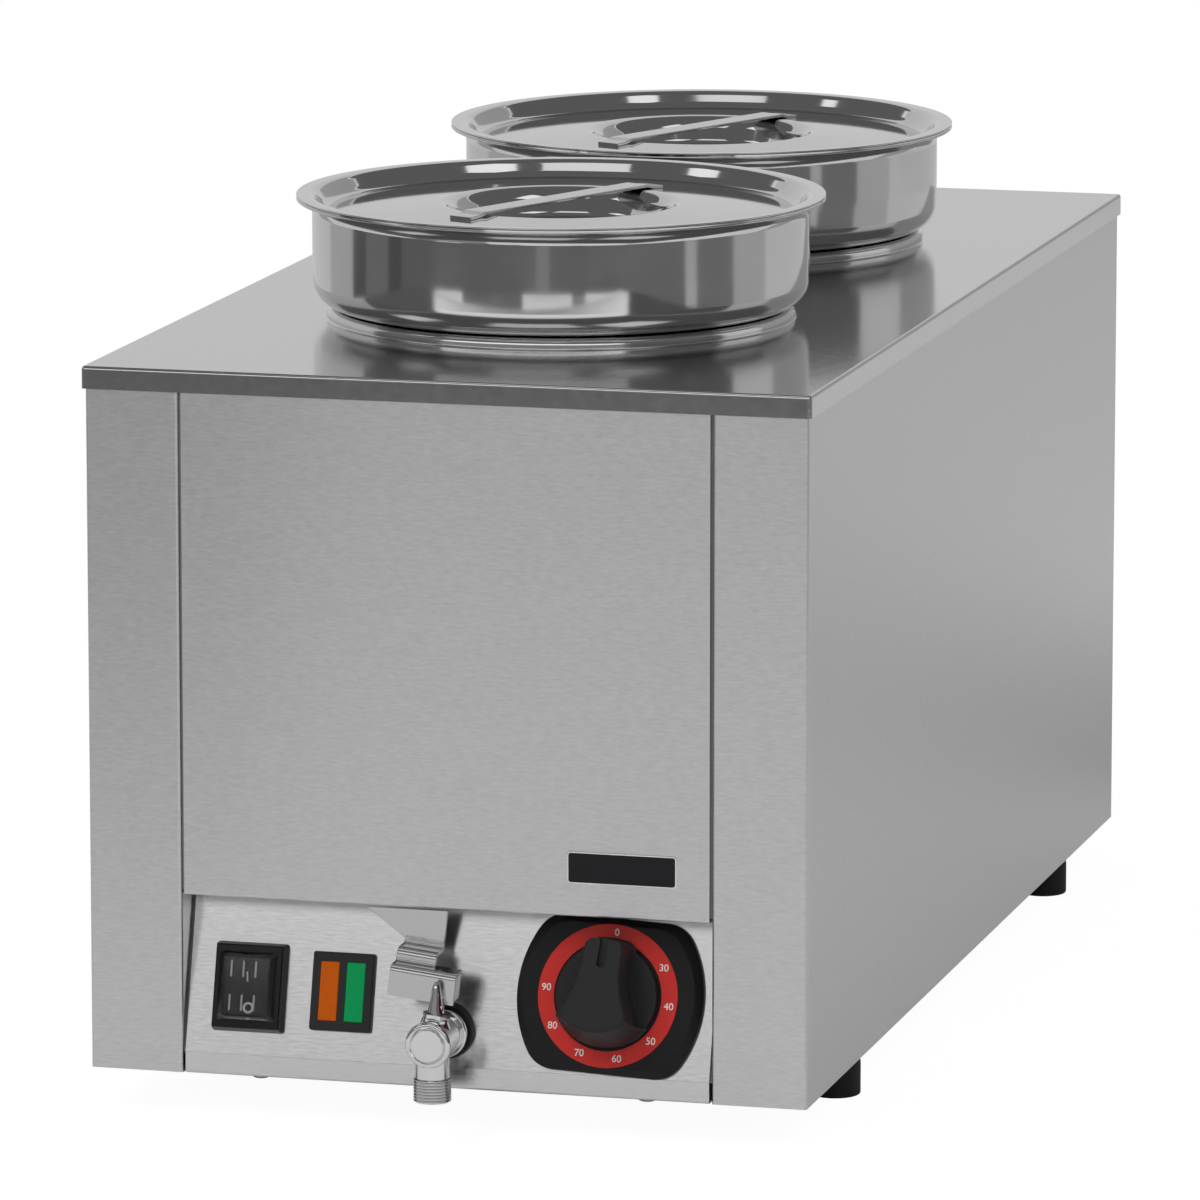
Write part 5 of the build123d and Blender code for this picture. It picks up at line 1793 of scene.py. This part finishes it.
    def spout_corners(self) -> list[tuple[float, float, float]]:
        """Lists the spout's corners down its neck and thread and up its bore, each with its round."""
        top = self.thread_top
        start = top - self.thread_lead
        corners = [(0.0, self.axis_z, 0.0), (self.neck_radius, self.axis_z, 0.0)]
        corners += [(self.neck_radius, top, self.neck_round), (self.thread_root, start, 0.0)]
        for ridge in range(self.thread_turns):
            z = start - ridge * self.thread_pitch
            corners += [(self.thread_radius, z - drop, self.thread_round) for drop in self.thread_crest]
            corners.append((self.thread_root, z - self.thread_pitch + self.thread_gap, 0.0))
        low = start - self.thread_turns * self.thread_pitch
        end = low + self.bore_depth
        return corners + [(self.bore, low, self.bore_round), (self.bore, end, 0.0), (0.0, end, 0.0)]

    def cap(self) -> None:
        """Builds the round front cap with its raised middle."""
        forward = place(Vector((0.0, self.barrel_end, self.axis_z)), X_AXIS, Z_AXIS)
        depth = self.barrel_end - self.cap_front
        top = depth + self.cap_boss_height
        back_round, front_round = self.cap_rounds
        outer, inner = (self.cap_boss + width for width in self.cap_groove)
        outer_round, inner_round = self.cap_groove_rounds
        path = rounded_path([
            (0.0, -self.cap_sink, 0.0), (self.cap_radius, -self.cap_sink, back_round),
            (self.cap_radius, depth - self.cap_fall, front_round), (outer, depth, outer_round),
            (inner, depth - self.cap_groove_depth, inner_round),
            (self.cap_boss - self.cap_boss_draft, top, self.cap_boss_round), (0.0, top, 0.0),
        ], 8)
        chrome = self.tools.palette["tap_chrome"]
        cap = self.tools.lathe.turn("tap_front_cap", path, chrome, forward, self.round_sides)
        settle(cap, "casing", "tap_chrome", "tap_cap")

    def wing(self) -> None:
        """Builds the fin on the stem that the lever is screwed to."""
        upright = place(Vector((0.0, self.stem_y, self.axis_z)), self.across, Y_AXIS)
        # Each station has its height and its half widths across the tap and along it.
        stations = (
            (13.2, 3.7, 4.6), (15.0, 3.3, 4.4), (17.0, 2.9, 3.9), (19.5, 2.5, 3.3), (22.0, 2.2, 3.0),
            (24.2, 1.8, 2.6), (25.6, 1.3, 2.1), (26.3, 0.8, 1.4), (26.6, 0.3, 0.5), (26.68, 0.05, 0.1),
        )
        circle = circle_outline(1.0, self.fin_sides)(0.0)
        rings = []
        for z, wide, deep in stations:
            lean = self.fin_lean * (z - self.fin_foot)
            rings.append([
                Vector((x * wide - self.fin_shift - lean, y * deep - self.fin_back, z)) for x, y in circle
            ])
        chrome = self.tools.palette["tap_chrome"]
        wing = piece("tap_fin", Shape().loft(rings), chrome, upright, math.radians(self.fin_crease))
        settle(wing, "tap_handle", "tap_chrome", "tap_wing")

    def ribbon(self, run: list[tuple[float, float, float]], low: float, high: float) -> Shape:
        """Builds a bent strip of the lever.

        Args:
            run: Depth, height and bend radius along the middle of the sheet.
            low: Left edge.
            high: Right edge.

        Returns:
            The strip in the leaning tap's own millimetres.
        """

        def outline(inset: float) -> list[Point]:
            """Draws the strip's side view moved inwards."""
            line = rounded_path(run, 8)
            half = self.lever_sheet / 2 - inset
            return [*beside(line, -half), *reversed(beside(line, half))]

        shape = Shape().slab(outline, low, high, self.lever_edge, self.lever_edge, steps=3)
        return shape.moved(lambda p: Vector((p.z, p.y, -p.x)))

    def lever(self) -> None:
        """Builds the bent lever: tab, step, riser, second step and grip."""
        steel = self.tools.palette["lever_steel"]
        face = place(Vector((0.0, 0.0, self.axis_z)), self.across, self.stem_dir)
        half = self.lever_sheet / 2
        first = self.plate_top - half
        second = self.riser_top - half
        bend = self.bend - half
        tab = self.ribbon([
            (self.tab_y, self.tab_bottom, 0.0), (self.tab_y, first, bend),
            (self.riser_y + half, first, 0.0),
        ], self.lever_left, self.lever_right)
        riser = self.ribbon([
            (self.riser_y - self.step_lap, first, 0.0), (self.riser_y, first, bend),
            (self.riser_y, second, bend), (self.grip_y, second, bend),
            (self.grip_y, second + self.step_lap, 0.0),
        ], self.lever_left, self.lever_neck)
        left, right = self.lever_right - self.lever_sheet, self.lever_right
        low, high = self.plate_top - self.cheek_drop, self.plate_top
        cheek = Shape().slab(
            polygon_outline([(left, low), (right, low), (right, high), (left, high)]),
            -(self.tab_y + half), -(self.riser_y - half), self.cheek_edge, self.cheek_edge,
        )
        sine = math.sin(math.radians(self.roll))
        cosine = math.cos(math.radians(self.roll))
        rise = self.grip_top - self.axis_z
        right_top = (rise + sine * self.lever_neck) / cosine
        foot = second + self.grip_foot
        corner = self.grip_left + self.grip_trim
        left_top = (rise + sine * corner) / cosine
        grip = Shape().slab(polygon_outline([
            (self.lever_left, foot), (self.lever_neck, foot),
            (self.lever_neck, right_top), (corner, left_top),
        ]), -(self.grip_y + half), -(self.grip_y - half), self.lever_edge, self.lever_edge)
        made = [
            piece(f"lever_{name}", shape, steel, face)
            for name, shape in (("tab", tab), ("riser", riser), ("cheek", cheek), ("grip", grip))
        ]
        settle(joined("tap_bent_lever", made), "tap_handle", "lever_steel", "tap_lever")

    def build(self) -> None:
        """Builds the whole tap."""
        self.body()
        self.cap()
        self.wing()
        self.lever()


@dataclass
class CableEntry:
    """The cable gland in the back panel."""

    tools: Tools
    hex_size: float = 13.0
    hex_length: float = 8.0
    hex_edge: float = 0.6
    hex_lap: float = 0.5
    neck: float = 8.0
    neck_round: float = 0.4
    dome: float = 10.5
    dome_start: float = 0.5
    dome_round: float = 4.0
    dome_sides: int = 64
    mouth_round: float = 0.8
    bore: float = 4.5

    def build(self) -> None:
        """Builds the gland's hexagon and domed nut."""
        low, high = box_mm("cable_gland")
        start = box_mm("back_panel")[0].y
        centre = (low + high) / 2
        face = place(Vector((centre.x, start, centre.z)), -X_AXIS, Z_AXIS)
        inside = low.y - start
        outside = high.y - start
        black = self.tools.palette["black_plastic"]
        path = rounded_path([
            (self.bore, inside, 0.0), (self.neck, inside, self.neck_round),
            (self.neck, self.dome_start, 0.0), (self.dome, self.dome_start, 0.0),
            (self.dome, outside, self.dome_round), (self.bore, outside, self.mouth_round),
            (self.bore, inside, 0.0),
        ])
        dome = self.tools.lathe.turn("gland_dome", path, black, face, self.dome_sides)
        flats = circle_outline(self.hex_size, HEX_SIDES, math.pi / HEX_SIDES)
        inner = circle_outline(self.dome - self.hex_lap, HEX_SIDES, math.pi / HEX_SIDES)
        rings = [
            at_height(flats(0.0), 0.0),
            at_height(flats(0.0), self.hex_length - self.hex_edge),
            at_height(flats(self.hex_edge), self.hex_length),
            at_height(inner(0.0), self.hex_length),
            at_height(inner(0.0), 0.0),
        ]
        hexagon = piece("gland_hexagon", Shape().tube(rings), black, face)
        settle(joined("gland", [dome, hexagon]), "casing", "black_plastic", "cable_gland")


@dataclass
class Studio:
    """Camera, white ground, soft lamps and the room that the steel mirrors."""

    camera_spot: tuple[float, float, float] = (1.08752, -4.18846, 0.96761)
    camera_turn: tuple[float, float, float] = (79.674, 0.0, 14.762)
    lens: float = 280.2
    sensor: float = 36.0
    paper: tuple[float, float, float, float] = (-1.4, -1.7, 1.4, 1.2)
    paper_grey: float = 0.8
    floor_glow: float = 1.06
    floor_share: float = 0.9
    sky_light: float = 0.45
    side: float = 5.0
    back: float = 4.0
    wall_foot: float = -0.02
    wall_top: float = 3.0
    band_foot: float = 1.5
    ceiling_z: float = 3.1
    softbox_z: float = 3.05
    ground_z: float = -0.012
    strip_z: float = 0.002
    patch_z: float = 0.003
    ring_centre: Point = (0.0, -0.13)
    ring_zero: float = -75.24
    ring_reach: Point = (1.5, 3.2)
    lamp_size: float = 2.2

    def card(
        self, name: str, corners: list[tuple[float, float, float]], glow: bpy.types.Material
    ) -> bpy.types.Object:
        """Adds a flat card that only mirrors show.

        Args:
            name: Name of the card.
            corners: Its four corners, in metres.
            glow: Its material.

        Returns:
            The card.
        """
        mesh = bpy.data.meshes.new(name)
        mesh.from_pydata(corners, [], [(0, 1, 2, 3)])
        mesh.materials.append(glow)
        card = linked(name, mesh)
        card.visible_camera = False
        card.visible_diffuse = False
        card.visible_shadow = False
        return card

    def glow(self, name: str, level: float) -> bpy.types.Material:
        """Builds a plain glowing material of one grey level."""
        made = bpy.data.materials.new(name)
        made.use_nodes = True
        made.node_tree.nodes.clear()
        wire = Wiring(made.node_tree)
        light = wire.add("ShaderNodeEmission", {0: (1.0, 1.0, 1.0, 1.0), 1: level})
        wire.add("ShaderNodeOutputMaterial", {0: light.outputs[0]})
        return made

    def upright(self, name: str, start: Point, end: Point, low: float, high: float, level: float) -> None:
        """Hangs a wall card of one grey level between two points of the ground."""
        corners = [(*start, low), (*end, low), (*end, high), (*start, high)]
        self.card(name, corners, self.glow(f"{name}_tone", level))

    def patch(self, name: str, start: float, end: float, near: float, far: float, level: float) -> None:
        """Lays a patch on the ground, in a ring about the front pot.

        Args:
            name: Name of the patch.
            start: Direction of its first side, in degrees from the camera's.
            end: Direction of its last side.
            near: Distance of its inner side, in metres.
            far: Distance of its outer side.
            level: Its grey level.
        """
        corners = []
        x, y = self.ring_centre
        for angle, reach in ((start, near), (end, near), (end, far), (start, far)):
            turn = math.radians(self.ring_zero + angle)
            corners.append((x + reach * math.cos(turn), y + reach * math.sin(turn), self.patch_z))
        self.card(name, corners, self.glow(f"{name}_tone", level))

    def room(self) -> None:
        """Hangs the walls and lays the ground, both pale behind the part and dark in front of it."""
        side, back = self.side, self.back
        foot, top = self.wall_foot, self.wall_top
        walls = (
            ("back_wall", (-side, back), (0.3, back), foot, top, 0.66),
            ("back_right_wall", (0.3, back), (side, back), foot, top, 0.4),
            ("left_back_wall", (-side, -0.3), (-side, back), foot, top, 0.62),
            ("left_front_wall", (-side, -side), (-side, -0.3), foot, top, 0.17),
            ("right_back_wall", (side, back), (side, 0.8), foot, top, 0.72),
            ("right_front_wall", (side, 0.8), (side, -side), foot, top, 0.14),
            ("front_low_wall", (side, -side), (-side, -side), foot, self.band_foot, 0.3),
            ("front_high_wall", (side, -side), (-side, -side), self.band_foot, self.ceiling_z, 1.5),
        )
        for wall in walls:
            self.upright(*wall)
        ground, strip, box = self.ground_z, self.strip_z, self.softbox_z
        flats = (
            ("dark_ground", [(-side, -side), (side, -side), (side, 0.5), (-side, -0.3)], ground, 0.15),
            ("pale_ground", [(-side, -0.3), (side, 0.5), (side, back), (-side, back)], ground, 0.54),
            ("ground_strip", [(-1.4, 0.48), (1.4, 0.48), (1.4, 0.88), (-1.4, 0.88)], strip, 0.38),
            ("ceiling", [(-side, -side), (-side, back), (side, back), (side, -side)], self.ceiling_z, 0.14),
            ("left_shade", [(-1.4, -0.9), (-1.4, -1.7), (-0.47, -1.7), (-0.27, -0.9)], strip, 0.28),
            ("high_softbox", [(-0.9, -2.05), (-0.9, -0.95), (0.6, -0.95), (0.6, -2.05)], box, 1.0),
            ("left_softbox", [(-3.3, -1.4), (-3.3, -0.2), (-2.1, -0.2), (-2.1, -1.4)], box, 1.2),
            ("right_softbox", [(1.0, -1.5), (1.0, -0.3), (2.2, -0.3), (2.2, -1.5)], box, 1.2),
        )
        for name, corners, z, level in flats:
            self.card(name, [(x, y, z) for x, y in corners], self.glow(f"{name}_tone", level))
        self.patches()

    def patches(self) -> None:
        """Lays the patches that the pots mirror in their bands."""
        near, far = self.ring_reach
        patches = (
            (-170.0, -132.0, near, far, 0.62), (-132.0, -110.0, near, far, 0.46),
            (-110.0, -100.0, near, far, 0.1), (-100.0, -85.0, near, far, 0.18),
            (-85.0, -77.0, near, far, 0.09), (-77.0, -60.0, near, far, 0.14),
            (-58.0, -45.0, 1.58, 1.95, 1.0), (-17.0, 5.0, 1.58, 1.9, 1.0), (11.0, 25.0, 1.58, 1.95, 1.0),
            (-11.0, -5.0, 2.2, far, 0.27), (30.0, 57.0, 1.7, far, 0.18), (58.0, 64.0, near, far, 0.5),
            (64.0, 85.0, near, far, 0.19), (85.0, 107.0, near, far, 0.44), (107.0, 170.0, near, far, 0.6),
        )
        for index, patch in enumerate(patches):
            self.patch(f"ground_patch_{index}", *patch)

    def ground(self) -> None:
        """Lays the white floor, which keeps a soft shadow."""
        made = bpy.data.materials.new("white_floor")
        made.use_nodes = True
        made.node_tree.nodes.clear()
        wire = Wiring(made.node_tree)
        rays = wire.add("ShaderNodeLightPath")
        grey = self.paper_grey
        paper = wire.add("ShaderNodeBsdfDiffuse", {0: (grey, grey, grey, 1.0)})
        white = wire.add("ShaderNodeEmission", {0: (1.0, 1.0, 1.0, 1.0), 1: self.floor_glow})
        share = wire.math("MULTIPLY", rays.outputs["Is Camera Ray"], self.floor_share)
        mixed = wire.add("ShaderNodeMixShader", {0: share, 1: paper.outputs[0], 2: white.outputs[0]})
        wire.add("ShaderNodeOutputMaterial", {0: mixed.outputs[0]})
        mesh = bpy.data.meshes.new("floor")
        left, front, right, back = self.paper
        corners = [(left, front, 0.0), (right, front, 0.0), (right, back, 0.0), (left, back, 0.0)]
        mesh.from_pydata(corners, [], [(0, 1, 2, 3)])
        mesh.materials.append(made)
        linked("floor", mesh)

    def sky(self) -> None:
        """Makes the world white to the camera, to mirrors and through glass, and softer as light."""
        world = bpy.data.worlds.new("white_world")
        world.use_nodes = True
        world.node_tree.nodes.clear()
        wire = Wiring(world.node_tree)
        rays = wire.add("ShaderNodeLightPath").outputs
        seen = wire.math("MAXIMUM", rays["Is Camera Ray"], rays["Is Glossy Ray"])
        seen = wire.math("MAXIMUM", seen, rays["Is Transmission Ray"])
        level = wire.add("ShaderNodeMapRange", {0: seen, 3: self.sky_light, 4: 1.0}).outputs[0]
        light = wire.add("ShaderNodeBackground", {0: (1.0, 1.0, 1.0, 1.0), 1: level})
        wire.add("ShaderNodeOutputWorld", {0: light.outputs[0]})
        bpy.context.scene.world = world

    def lamp(self, name: str, spot: Vector, aim: Vector, size: float, power: float) -> None:
        """Adds a soft square lamp.

        Args:
            name: Name of the lamp.
            spot: Where it hangs, in metres.
            aim: Where it points.
            size: Side of its square.
            power: Its power in watts.
        """
        light = bpy.data.lights.new(name, "AREA")
        light.size = size
        light.energy = power
        made = bpy.data.objects.new(name, light)
        made.location = spot
        made.rotation_euler = (aim - spot).to_track_quat("-Z", "Y").to_euler()
        made.visible_glossy = False
        bpy.context.scene.collection.objects.link(made)

    def camera(self) -> None:
        """Stands the camera where the photograph was taken from."""
        data = bpy.data.cameras.new("camera")
        data.lens = self.lens
        data.sensor_width = self.sensor
        made = bpy.data.objects.new("camera", data)
        made.location = self.camera_spot
        made.rotation_euler = [math.radians(angle) for angle in self.camera_turn]
        bpy.context.scene.collection.objects.link(made)
        bpy.context.scene.camera = made

    def build(self) -> None:
        """Sets up the whole studio."""
        bpy.context.scene.view_settings.view_transform = "Standard"
        self.camera()
        self.sky()
        self.ground()
        self.room()
        target = Vector((0.0, 0.0, 0.2))
        self.lamp("key_lamp", Vector((-1.6, -2.0, 3.0)), target, self.lamp_size, 70.0)
        self.lamp("fill_lamp", Vector((2.4, -0.6, 2.6)), target, self.lamp_size, 40.0)


def dress_cad_nodes(palette: Palette) -> None:
    """Gives every CAD node that stays in sight its finish.

    Args:
        palette: The finishes.
    """
    wear = {
        "brushed_steel": ("left_side_panel", "right_side_panel", "front_panel"),
        "panel_steel": ("control_panel",),
        "plain_steel": ("back_panel", "base_plate", "water_tank", "heating_element", "bulb_clip"),
        "screw_steel": ("foot_screws", "tap_lever_screw", "knob_shaft"),
        "tap_chrome": ("tap_ball", "tap_stem"),
        "brass": ("drain_pipe", "element_bushings", "sensor_bulb"),
        "black_rubber": ("tap_washer",),
        "black_plastic": ("thermostat_body", "gland_locknut"),
        "indicator_grey": ("indicator_housing",),
        "terminal_cream": ("terminal_block",),
    }
    for finish, names in wear.items():
        for name in names:
            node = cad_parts[name]
            node.data.materials.clear()
            node.data.materials.append(palette[finish])
            log.info("%s in %s", name, finish)


def main() -> None:
    """Builds the part and its studio."""
    palette = Palette()
    tools = Tools(palette, Lathe(), Rows())
    panel = Panel()
    dress_cad_nodes(palette)
    assemblies = [
        Casing(tools), Pot(tools, "front"), Pot(tools, "rear"), PowerSwitch(tools, panel),
        Indicator(tools, panel), Thermostat(tools, panel), DrainTap(tools), CableEntry(tools), Studio(),
    ]
    for assembly in assemblies:
        log.info("building %s", type(assembly).__name__)
        assembly.build()


if __name__ == "__main__":
    main()
